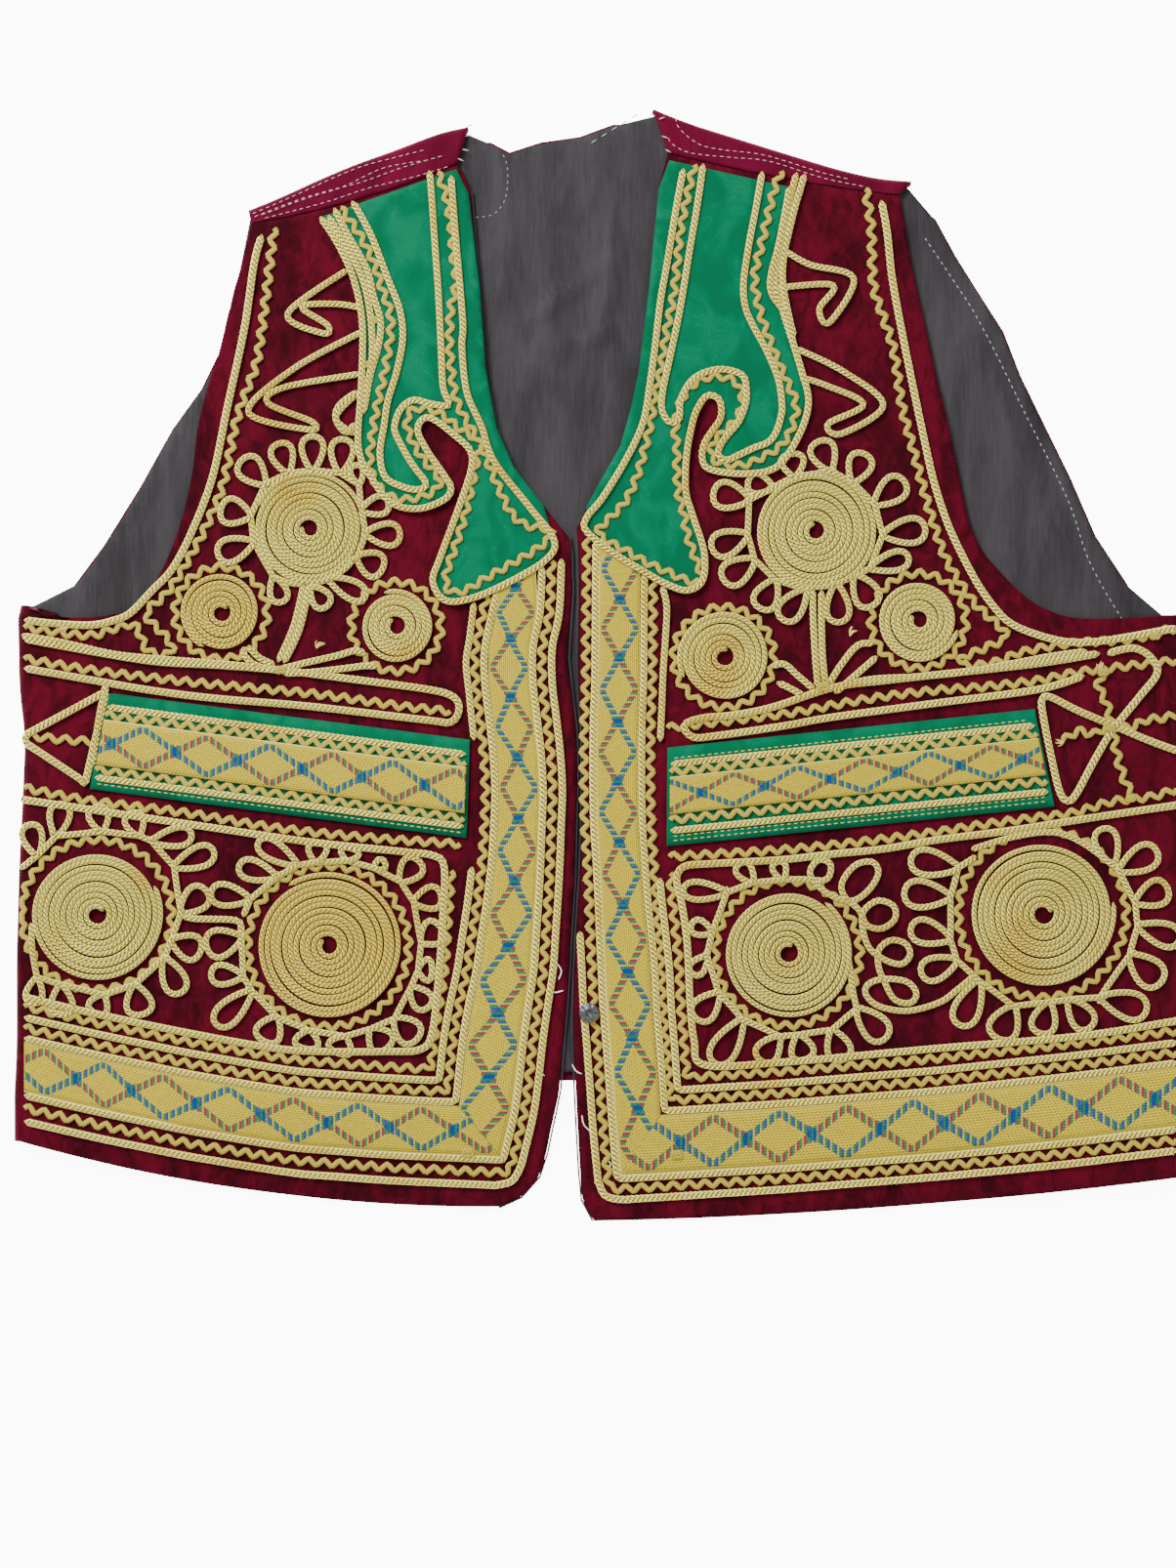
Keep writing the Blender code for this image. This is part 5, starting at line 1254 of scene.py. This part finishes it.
def front(side):
    """A velvet front: its upper face, then round the side fold and a little way under."""
    sign = side["sign"]
    rows = fine_rows(side["rows"])
    piece = Piece(f"velvet_front_{side['name']}", velvet, "burgundy_velvet", f"front_{side['name']}")
    shares = np.linspace(0, 1, ACROSS)
    flat_lines, under = [], []
    for row in rows:
        outer = row["outer_x"] - sign * FOLD_RADIUS * row["folded"]
        x = row["inner_x"] + (outer - row["inner_x"]) * shares
        bow = row["bow"] * 4 * shares * (1 - shares)
        y = row["inner_y"] + (row["outer_y"] - row["inner_y"]) * shares - bow
        flat_lines.append(np.stack([x, y, top(x, y)], axis=1))
        if row["folded"]:
            half = float(top(outer, row["outer_y"])) / 2
            turn = np.radians(FINE_ANGLES)
            bend = np.stack([outer + sign * FOLD_RADIUS * np.sin(turn), np.full(len(turn), row["outer_y"]),
                             half + half * np.cos(turn)], axis=1)
            end = np.array([[row["outer_x"] - sign * FOLD_TAIL, row["outer_y"], 0.0]])
            under.append(np.concatenate([flat_lines[-1][-1:], bend, end]))
    for lines in (flat_lines, under):
        points = np.array(lines)
        if sign < 0:
            points = points[:, ::-1]
        piece.grid(points[::-1], points[::-1][..., :2])
    made = piece.make()
    weld = made.modifiers.new("weld", "WELD")
    weld.merge_threshold = 0.01 * MM
    return walled(made, FRONT_THICK)


def polygon_grid(piece, outline, ground, step, edge_step=2.5):
    """A flat cut piece as a fine net of triangles over its outline."""
    outline = np.asarray(outline, float)
    closed = np.concatenate([outline, outline[:1]])
    ring = []
    for a, b in zip(closed, closed[1:]):
        count = max(1, int(np.linalg.norm(b - a) / edge_step))
        ring += [a + (b - a) * k / count for k in range(count)]
    ring = np.array(ring)
    low, high = ring.min(axis=0), ring.max(axis=0)
    inner = []
    for j, y in enumerate(np.arange(low[1] + step / 2, high[1], step)):
        crossings = []
        for a, b in zip(ring, np.roll(ring, -1, axis=0)):
            if (a[1] <= y) != (b[1] <= y):
                crossings.append(a[0] + (y - a[1]) * (b[0] - a[0]) / (b[1] - a[1]))
        crossings.sort()
        for start, end in zip(crossings[::2], crossings[1::2]):
            inner += [(x, y) for x in np.arange(start + step / 2 + (j % 2) * step / 2, end - step / 3, step)]
    points = [Vector(p) for p in ring] + [Vector(p) for p in inner]
    found = delaunay_2d_cdt(points, [(k, (k + 1) % len(ring)) for k in range(len(ring))], [], 1, 1e-4)
    flat_points = np.array([tuple(p) for p in found[0]])
    z = ground(flat_points[:, 0], flat_points[:, 1])
    piece.add(np.column_stack([flat_points, z]), flat_points, np.array([list(f) for f in found[2]]))


def lining():
    outline = back_outline(STRIP_RADIUS + LINING_CLEAR, FOLD_RADIUS + LINING_SIDE, LINING_ARM, LINING_HEM)
    piece = Piece("lining_cloth", charcoal, "charcoal_cotton", "back_lining")
    polygon_grid(piece, outline, lining_top, 4.0)
    return walled(piece.make(), LINING_THICK)


def shoulder(side):
    """A cotton strip over the top of the shoulder, with soft puckers along its seam."""
    sign = side["sign"]
    stations = strip_stations(side["rows"], side["strip"], sign)
    table = np.array([[x, y, fx, fy] for x, y, fx, fy, _ in stations])
    fine = smooth(table[:, :2], 2.5)
    folds = smooth(table[:, 2:], 2.5)
    folds = even(folds, np.linalg.norm(np.diff(folds, axis=0), axis=1).sum() / (len(fine) - 1))
    folds = folds[:len(fine)]
    fine = fine[:len(folds)]
    lines = []
    for i, ((x, y), (fx, fy)) in enumerate(zip(fine, folds)):
        size = math.hypot(fx - x, fy - y)
        ux, uy = (fx - x) / size, (fy - y) / size
        sx, sy = fx - ux * STRIP_RADIUS, fy - uy * STRIP_RADIUS
        line = []
        for share in np.linspace(0, 1, 9):
            pucker = 0.35 * math.sin(i * 1.1 + 2 * share) * math.sin(math.pi * share)
            line.append((x + (sx - x) * share, y + (sy - y) * share, FRONT_TOP + pucker))
        for angle in range(15, 181, 15):
            turn = math.radians(angle)
            reach = STRIP_RADIUS * math.sin(turn)
            line.append((sx + ux * reach, sy + uy * reach, STRIP_RADIUS * (1 + math.cos(turn))))
        line.append((sx - ux * STRIP_TAIL, sy - uy * STRIP_TAIL, 0))
        lines.append(line)
    points = np.array(lines)
    if sign > 0:
        points = points[:, ::-1]
    piece = Piece(f"cotton_shoulder_{side['name']}", cotton, "burgundy_cotton", f"shoulder_{side['name']}")
    piece.grid(points, points[..., :2])
    return walled(piece.make(), STRIP_THICK), fine, folds


def lapel(side):
    outline = [tuple(p) for p in smooth(side["lapel_part"], 2.5)]
    inset = -LAPEL_OVER * side["sign"]
    outline += [(x + inset, y) for x, y in side["lapel_neck"]]
    piece = Piece(f"velvet_lapel_{side['name']}", green, "green_velvet", f"lapel_{side['name']}")
    polygon_grid(piece, outline, lambda x, y: top(x, y) + LAY, 3.0)
    return walled(piece.make(), APPLIQUE_THICK, 1.0)


def ribbon(name, near, far, base, thickness, finish, slot, nodes, columns=BAND_COLUMNS, uvs=None):
    """A strip of cloth between two edges given as matching lines."""
    near, far = np.asarray(near, float), np.asarray(far, float)
    shares = np.linspace(0, 1, columns)[None, :, None]
    flat_points = near[:, None] + (far - near)[:, None] * shares
    z = top(flat_points[..., 0], flat_points[..., 1]) + base
    points = np.dstack([flat_points, z])
    if uvs is None:
        uvs = points[..., :2]
    first, second = points[1, 0] - points[0, 0], points[0, -1] - points[0, 0]
    if first[0] * second[1] - first[1] * second[0] > 0:
        points, uvs = points[:, ::-1], uvs[:, ::-1]
    piece = Piece(name, finish, slot, *nodes)
    piece.grid(points, uvs)
    return walled(piece.make(), thickness, 1.0)


def rounded(down, corner, along, size):
    """One line round a trim's corner."""
    ends = []
    for point in (down[-1], along[0]):
        share = size / math.dist(point, corner)
        ends.append(tuple(corner[k] + (point[k] - corner[k]) * share for k in (0, 1)))
    middle = tuple(0.25 * ends[0][k] + 0.5 * corner[k] + 0.25 * ends[1][k] for k in (0, 1))
    return down + [ends[0], middle, ends[1]] + along


def zigzag(side, part, along):
    """Where a band's zigzags cross, as distances along its pattern."""
    places = CROSSINGS[f"{side['name']}_{part}"]
    along = np.asarray(along)
    first = FIRST_CROSSING.get(f"{side['name']}_{part}", 0)
    marks = [BAND_REPEAT / 4 + BAND_REPEAT / 2 * (k + first) for k in range(len(places))]
    if places[0] > places[-1]:
        places, marks = places[::-1], marks[::-1]
    found = np.interp(along, places, marks)
    for end, other in ((0, 1), (-1, -2)):
        pace = (marks[end] - marks[other]) / (places[end] - places[other])
        past = along < places[0] if end == 0 else along > places[-1]
        found = np.where(past, marks[end] + (along - places[end]) * pace, found)
    return found


def lapel_foot(side, x):
    """Where a lapel's lower edge crosses a line down the front."""
    places = LAPEL_FEET[side["name"]]
    return float(np.interp(x, [p[0] for p in places], [p[1] for p in places]))


def raised(side, line):
    """Carries a line that starts under a lapel up to the lapel's edge."""
    x, y = line[0]
    if y < 0:
        return line
    slope = (line[1][0] - x) / (line[1][1] - y)
    foot = lapel_foot(side, x) - FOOT_CLEAR
    return [(x + slope * (foot - y), foot)] + line[1:]


def trim_line(side, name, size=2.5):
    down, corner, along = trim_path(side, name)
    down = raised(side, down)
    along = along + [wrap_end(side, along)]
    return smooth(rounded(down, corner, along, size), 2.0)


def wrap_end(side, along):
    """Where a hem line reaches the side fold."""
    (ax, ay), (bx, by) = along[-2], along[-1]
    end = side["sign"] * SIDE_END
    return end, by + (by - ay) / (bx - ax) * (end - bx)


def to_side(line, sign):
    """Carries a line that ends or starts near the side on to the fold."""
    line = [(max(-SIDE_END, min(SIDE_END, x)), y) for x, y in line]
    for end, nearest, next_one in ((0, line[0], line[1]), (-1, line[-1], line[-2])):
        if SIDE_NEAR < abs(nearest[0]) < SIDE_END and abs(nearest[0]) > abs(next_one[0]):
            slope = (nearest[1] - next_one[1]) / (nearest[0] - next_one[0])
            reach = (sign * SIDE_END, nearest[1] + slope * (sign * SIDE_END - nearest[0]))
            line.insert(0 if end == 0 else len(line), reach)
    return line


def band(side):
    near_down, near_corner, near_along = trim_path(side, "band_near")
    far_down, far_corner, far_along = trim_path(side, "band_far")
    near_top, far_top = side["band_top"]
    sign = side["sign"]
    near_along = near_along + [wrap_end(side, near_along)]
    far_along = far_along + [wrap_end(side, far_along)]

    def spread(start, run, end):
        return even([start] + [p for p in run if p[1] < start[1] - CORNER_CLEAR] + [end], 1.0)

    near = spread((near_top[0], lapel_foot(side, near_top[0])), near_down, near_corner)
    far = spread((far_top[0], lapel_foot(side, far_top[0])), far_down, far_corner)
    count = max(len(near), len(far))
    near, far = resampled(near, count), resampled(far, count)
    near, far = widened(near, far, BAND_UNDER)
    made = []
    hem = hem_lines(near_corner, near_along, far_corner, far_along)
    for part, (a, b) in {"front": (near, far), "hem": hem}.items():
        shares = np.linspace(0, 1, BAND_COLUMNS)[None, :]
        across = np.broadcast_to((shares - 0.5) * BAND_WIDE, (len(a), BAND_COLUMNS))
        flat_points = a[:, None] + (b - a)[:, None] * shares[..., None]
        along = zigzag(side, part, flat_points[..., 1] if part == "front" else flat_points[..., 0])
        made.append(ribbon(
            f"woven_{part}_{side['name']}", a, b, LAY, BAND_THICK, woven, "woven_gold_band",
            [f"band_{part}_{side['name']}"], uvs=np.dstack([across, along]),
        ))
    return made


def hem_lines(near_corner, near_along, far_corner, far_along):
    near = resampled(even([near_corner] + near_along, 1.0), HEM_STATIONS)
    far = resampled(even([far_corner] + far_along, 1.0), HEM_STATIONS)
    return widened(near, far, BAND_UNDER)


def widened(near, far, by):
    """Runs a band's edges a little way under the cords beside it."""
    toward = (near - far) / np.linalg.norm(near - far, axis=1)[:, None]
    return near + toward * by, far - toward * by


def pocket(side):
    a, b, c, d = (np.array(p) for p in side["pocket"])

    def across(share, end=0.0):
        left, right = a + (d - a) * share, b + (c - b) * share
        return resampled([left + (end, 0), right - (end, 0)], POCKET_STATIONS)

    name = side["name"]
    flap = ribbon(f"velvet_pocket_{name}", across(0), across(1), LAY, APPLIQUE_THICK, green,
                  "green_velvet", [f"pocket_{name}"], columns=13)
    rows = POCKET_ROWS[name]
    upper, lower = (across(share, 1.2) for share in rows["woven"])
    shares = np.linspace(0, 1, BAND_COLUMNS)[None, :]
    u = np.broadcast_to((shares - 0.5) * BAND_WIDE, (POCKET_STATIONS, BAND_COLUMNS))
    flat_points = upper[:, None] + (lower - upper)[:, None] * shares[..., None]
    base = LAY + APPLIQUE_THICK + SEAM_GAP
    strip = ribbon(f"woven_pocket_{name}", upper, lower, base, BAND_THICK, woven, "woven_gold_band",
                   [f"pocket_band_{name}"], uvs=np.dstack([u, zigzag(side, "pocket", flat_points[..., 0])]))
    trim = Piece(f"pocket_trim_{name}", tape, "gold_cord")
    for share in rows["tapes"]:
        trim.ricrac(across(share, 1.5), base=LAY + APPLIQUE_THICK + 0.5, width=2.6, swing=1.5)
    cords = Piece(f"pocket_edge_cord_{name}", gold, "gold_cord")
    for share in rows["cords"]:
        cords.tube(even(across(share, 1.5), 2.0), LAPEL_CORD, POCKET_CORD_HEIGHT, LAY + APPLIQUE_THICK)
    stitches = Piece(f"pocket_stitches_{name}", pale_thread, "gold_cord")
    for share in rows["stitches"]:
        stitch(stitches, across(share, 2.5), base=LAY + APPLIQUE_THICK)
    return flap, strip, trim.make(), cords.make(), stitches.make()


def stitch(piece, line, base=0.0, size=1.9, gap=1.1, ground=None, width=0.45):
    """Short threads along a line, with gaps between them."""
    line = even(line, 0.3)
    lengths = lengths_along(line)
    at = 0.5
    while at + size < lengths[-1]:
        wanted = np.linspace(at, at + size, 4)
        piece.tube(points_at(line, wanted), width, width, base - 0.1, sides=5, ground=ground)
        at += size + gap


def starts_on_lapel(route):
    """Whether a cord starts high up and well out from the middle, where a lapel lies."""
    x, y = route[0]
    return y > LAPEL_FROM_Y and abs(x) > LAPEL_FROM_X


def on_strip(x, y):
    """Height of the stitches on a shoulder strip."""
    return np.full(np.shape(x), FRONT_TOP + 0.25)


def notched(radius, height, turn):
    """Whether a point of the press snap lies in one of the notches of its flange."""
    return NOTCH_NEAR < radius < NOTCH_FAR and height > 0 and math.cos(NOTCHES * turn) > 0.8


def coil(piece, row, cord_width):
    """A flat spiral of cord round a small hole."""
    turns = row["turns"]
    last = row["radius"] + row["grow"] - cord_width / 2
    first = row["hole"]
    angle = np.arange(0, turns * 2 * math.pi, 2.0 / row["radius"] * 1.2)
    share = angle / angle[-1]
    radius = first + (last - first) * share
    drift = np.sin(1.37 * angle + row["spin"]) + 0.6 * np.sin(0.61 * angle + 2 * row["spin"])
    radius = radius + row["wobble"] * (0.4 + share) * (np.sin(3 * angle + 1.3 * share) + 1.3 * drift)
    turn = angle + row["spin"]
    line = np.stack([row["x"] + row["shift_x"] + radius * np.cos(turn),
                     row["y"] + radius * np.sin(turn) * row["squash"]], axis=1)
    rise = 0.35 * np.sin(4.1 * angle) * 0.3
    piece.tube(line, cord_width, DISC_CREST - 0.1, LAY, lift=rise, sides=8)


def looped(row, step=1.2):
    """One cord that runs past a rosette, throwing a crossed loop out at each place."""
    path = [(x, y, 0.0) for x, y in row["start"]]
    last = None
    for base_x, base_y, tip_x, tip_y, half in row["loops"]:
        out_x, out_y = tip_x - base_x, tip_y - base_y
        size = math.hypot(out_x, out_y)
        out_x, out_y = out_x / size, out_y / size
        size += LOOP_MORE
        half += LOOP_MORE
        if last is None:
            nearest = row["loops"][1]
            ahead_x, ahead_y = nearest[0] - base_x, nearest[1] - base_y
        else:
            ahead_x, ahead_y = base_x - last[0], base_y - last[1]
        side_x, side_y = -out_y, out_x
        if side_x * ahead_x + side_y * ahead_y < 0:
            side_x, side_y = -side_x, -side_y
        last = base_x, base_y
        for k in range(LOOP_POINTS + 1):
            turn = 2 * math.pi * k / LOOP_POINTS
            out = size * ((1 - math.cos(turn)) / 2) ** 0.8
            across = half * math.sin(turn) * (0.62 + 0.48 * math.sin(turn / 2) ** 2)
            lift = LOOP_LIFT * float(ease((k - 0.55 * LOOP_POINTS) / (0.4 * LOOP_POINTS)))
            if k == LOOP_POINTS:
                lift *= 0.6
            x = base_x + out_x * out + side_x * across
            y = base_y + out_y * out + side_y * across
            path.append((x, y, lift))
    path += [(x, y, 0.0) for x, y in row["end"]]
    return smooth(path, step)


for side in SIDES:
    name, sign = side["name"], side["sign"]
    side["trims"].update({row[0]: dict(zip(TRIM_COLUMNS, row)) for row in RICRAC_TRIMS[name]})
    shell = front(side)
    strip, seam, fold = shoulder(side)
    lapel_cloth = lapel(side)
    bands = band(side)
    pieces = pocket(side)

    cords = Piece(f"cords_{name}", gold, "gold_cord", f"edge_cord_{name}", f"band_cord_{name}",
                  f"inner_cord_{name}", f"frame_cord_{name}", f"armhole_cord_{name}",
                  f"pocket_cord_{name}", f"panel_cord_{name}", f"side_motif_{name}", f"stem_{name}",
                  f"squiggle_{name}_upper", f"squiggle_{name}_lower", f"lapel_cord_{name}")
    for trim in ("edge_cord", "band_cord", "inner_cord", "frame_cord"):
        cords.tube(trim_line(side, trim, CORNER_ROUND[trim]), CORD, CORD_HEIGHT)
    for table in (ARMHOLE_CORDS, POCKET_CORDS, PANEL_CORDS):
        cords.tube(smooth(to_side(table[name], sign)), CORD, CORD_HEIGHT)
    if name == "left":
        cords.tube(even(LEFT_MOTIF, 1.2), CORD, CORD_HEIGHT, tapered=False)
        cords.tube(smooth(LEFT_STEM), CORD, CORD_HEIGHT)
    else:
        cords.tube(smooth(STAR_CORD, 1.5), CORD, CORD_HEIGHT)
    for route in EXTRA_CORDS[name]:
        rise = 0.4 * APPLIQUE_THICK if starts_on_lapel(route) else 0.0
        cords.tube(smooth(route), LAPEL_CORD, CORD_HEIGHT, LAY + rise)
    for label, route in SQUIGGLE_CORDS.items():
        if label.startswith(name):
            cords.tube(smooth(route, 1.5), LOOP_CORD, CORD_HEIGHT)
    on_lapel = LAY + APPLIQUE_THICK
    cords.tube(smooth(side["lapel"]), LAPEL_CORD, CORD_HEIGHT, on_lapel)
    cords.tube(smooth(LAPEL_INNER[name]), LAPEL_CORD, CORD_HEIGHT - 0.4, on_lapel)
    cords.make()

    tapes = Piece(f"ricrac_{name}", tape, "gold_cord")
    for trim, *_ in RICRAC_TRIMS[name]:
        tapes.ricrac(trim_line(side, trim, 3.0))
    for route in LAPEL_TAPES[name]:
        tapes.ricrac(smooth(route), on_lapel, width=2.6, swing=1.4, period=6.9)
    if name == "left":
        tapes.ricrac(smooth(LEFT_MOTIF_TAPE))
    else:
        for route in STAR_TAPES:
            tapes.ricrac(smooth(route), LAY + 0.5)
    tapes.ricrac(smooth(to_side(ARMHOLE_RICRAC[name], sign)))
    for label, route in POCKET_RICRAC.items():
        if label.startswith(name):
            tapes.ricrac(smooth(to_side(route, sign)))
    tapes.make()

    threads = Piece(f"shoulder_stitches_{name}", seam_thread, "gold_cord")
    for route in SHOULDER_STITCHES[name]:
        stitch(threads, smooth(route), size=2.0, gap=1.2, ground=on_strip, width=0.35)
    for (x, y), (dx, dy) in NECK_WHIPS[name]:
        whip = np.array([(x, y), (x + dx / 2, y + dy / 2), (x + dx, y + dy)])
        threads.tube(whip, 0.7, 0.7, 0.2, sides=5, ground=on_strip)
    threads.make()

inner = lining()

for row in ROSETTES:
    row = {**dict(zip(ROSETTE_COLUMNS, row)), **ROSETTE_MORE[row[0]]}
    piece = Piece(f"coil_{row['name'][8:]}", gold_orange if row["tinted"] else gold, "gold_cord", row["name"])
    coil(piece, row, (row["radius"] + row["grow"] - row["hole"]) / (row["turns"] + 0.1) - COIL_GAP)
    piece.make()
stitches = Piece("lining_stitches", grey_thread, "gold_cord")
for label, size, gap, width in LINING_SEAMS:
    stitch(stitches, smooth(STITCHES[label]), ground=lining_top, size=size, gap=gap, width=width)
stitches.make()
threads = Piece("loose_threads", white_thread, "gold_cord")
for route in THREADS.values():
    threads.tube(smooth(route, 0.8), 0.6, 0.6, LAY, sides=5)
threads.make()

knots = Piece("cord_knots", tape, "gold_cord")
for x, y, size in KNOTS:
    turn = np.linspace(0, 3.2 * math.pi, 26)
    reach = size * (0.35 + 0.2 * np.sin(2.3 * turn))
    knots.tube(np.stack([x + reach * np.cos(turn), y + reach * np.sin(turn)], axis=1), 1.7, 1.5, LAY + 0.9)
knots.make()
frays = Piece("frayed_ends", pale_thread, "gold_cord")
for x, y, turn in FRAYS:
    for k in range(9):
        angle = math.radians(turn) + rng.uniform(-0.6, 0.6)
        size = rng.uniform(2.6, 4.6)
        end = x + size * math.cos(angle), y + size * math.sin(angle)
        bend = x + 0.6 * size * math.cos(angle + 0.25), y + 0.6 * size * math.sin(angle + 0.25)
        frays.tube(smooth(((x, y), bend, end), 0.6), 0.45, 0.4, LAY + rng.uniform(0.8, 1.8), sides=4)
frays.make()

rings = Piece("ricrac_rings", tape, "gold_cord")
for row in ROSETTES:
    more = ROSETTE_MORE[row[0]]
    if more["ring"]:
        turn = np.linspace(0.3, 0.3 + 2 * math.pi, 120)
        x = row[1] + more["shift_x"] + more["ring"] * np.cos(turn)
        y = row[2] + more["ring"] * np.sin(turn)
        rings.ricrac(np.stack([x, y], axis=1))
rings.make()
for label, row in LOOPS.items():
    piece = Piece(f"loops_{label[7:]}", gold, "gold_cord", label)
    path = looped(row)
    piece.tube(path, LOOP_CORD, LOOP_HEIGHT, LAY, lift=path[:, 2])
    if label == "petals_hem_right_centre":
        piece.tube(smooth(RIGHT_LINK, 1.2), LOOP_CORD, LOOP_HEIGHT, LAY + LINK_RISE)
    piece.make()

snap = Piece("snap_half", metal, "grey_metal", "press_snap")
snap_level = float(top(SNAP_X, SNAP_Y)) + LAY + CORD_HEIGHT + SEAM_GAP
turns = np.linspace(0, 2 * math.pi, 49)
points = np.array([[(SNAP_X + r * math.cos(t), SNAP_Y + r * math.sin(t),
                     snap_level + up - (NOTCH_DEPTH if notched(r, up, t) else 0))
                    for r, up in SNAP_PROFILE] for t in turns])
snap.grid(points, points[..., :2])
snap.make()

for node, finish in (("back_panel", cotton), ("lining_edge_left", charcoal), ("lining_edge_right", charcoal)):
    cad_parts[node].data.materials.clear()
    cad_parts[node].data.materials.append(finish)


# The white table: half its width in metres, how far it lies below the cloth, and its glow
FLOOR_HALF, FLOOR_DROP, FLOOR_GLOW = 4, 0.2, 9.0
ROOM_LIGHT = 1.1
# Name, place, size and watts of each lamp, and the place that all of them point at
LAMPS = (("window", (-0.9, 1.1, 1.3), 0.7, 78), ("fill", (1.3, -0.6, 1.2), 1.2, 8))
LAMP_AIM = (0, -0.05, 0)
# The camera looks straight down from here
CAMERA, LENS, SENSOR = (-0.0057, -0.053, 0.981), 50, 36

mesh = bpy.data.meshes.new("floor")
corners = [(x * FLOOR_HALF, y * FLOOR_HALF, 0) for x, y in ((-1, -1), (1, -1), (1, 1), (-1, 1))]
mesh.from_pydata(corners, [], [(0, 1, 2, 3)])
floor = bpy.data.objects.new("floor", mesh)
bpy.context.scene.collection.objects.link(floor)
floor.location.z = -FLOOR_DROP * MM
table = Net("table_white", 0.6)
table.colour((0.9, 0.9, 0.9))
table.shader.inputs["Emission Color"].default_value = (1, 1, 1, 1)
table.shader.inputs["Emission Strength"].default_value = FLOOR_GLOW
mesh.materials.append(table.material)

world = bpy.data.worlds.new("room")
bpy.context.scene.world = world
world.use_nodes = True
world.node_tree.nodes["Background"].inputs["Color"].default_value = (1, 1, 1, 1)
world.node_tree.nodes["Background"].inputs["Strength"].default_value = ROOM_LIGHT


def lamp(name, place, size, watts):
    data = bpy.data.lights.new(name, "AREA")
    data.size = size
    data.energy = watts
    made = bpy.data.objects.new(name, data)
    made.location = place
    made.rotation_euler = (Vector(LAMP_AIM) - Vector(place)).to_track_quat("-Z", "Y").to_euler()
    bpy.context.scene.collection.objects.link(made)


for row in LAMPS:
    lamp(*row)

view = bpy.data.cameras.new("camera")
view.lens = LENS
view.sensor_width = SENSOR
view.clip_start = 0.01
camera = bpy.data.objects.new("camera", view)
camera.location = CAMERA
bpy.context.scene.collection.objects.link(camera)
bpy.context.scene.camera = camera
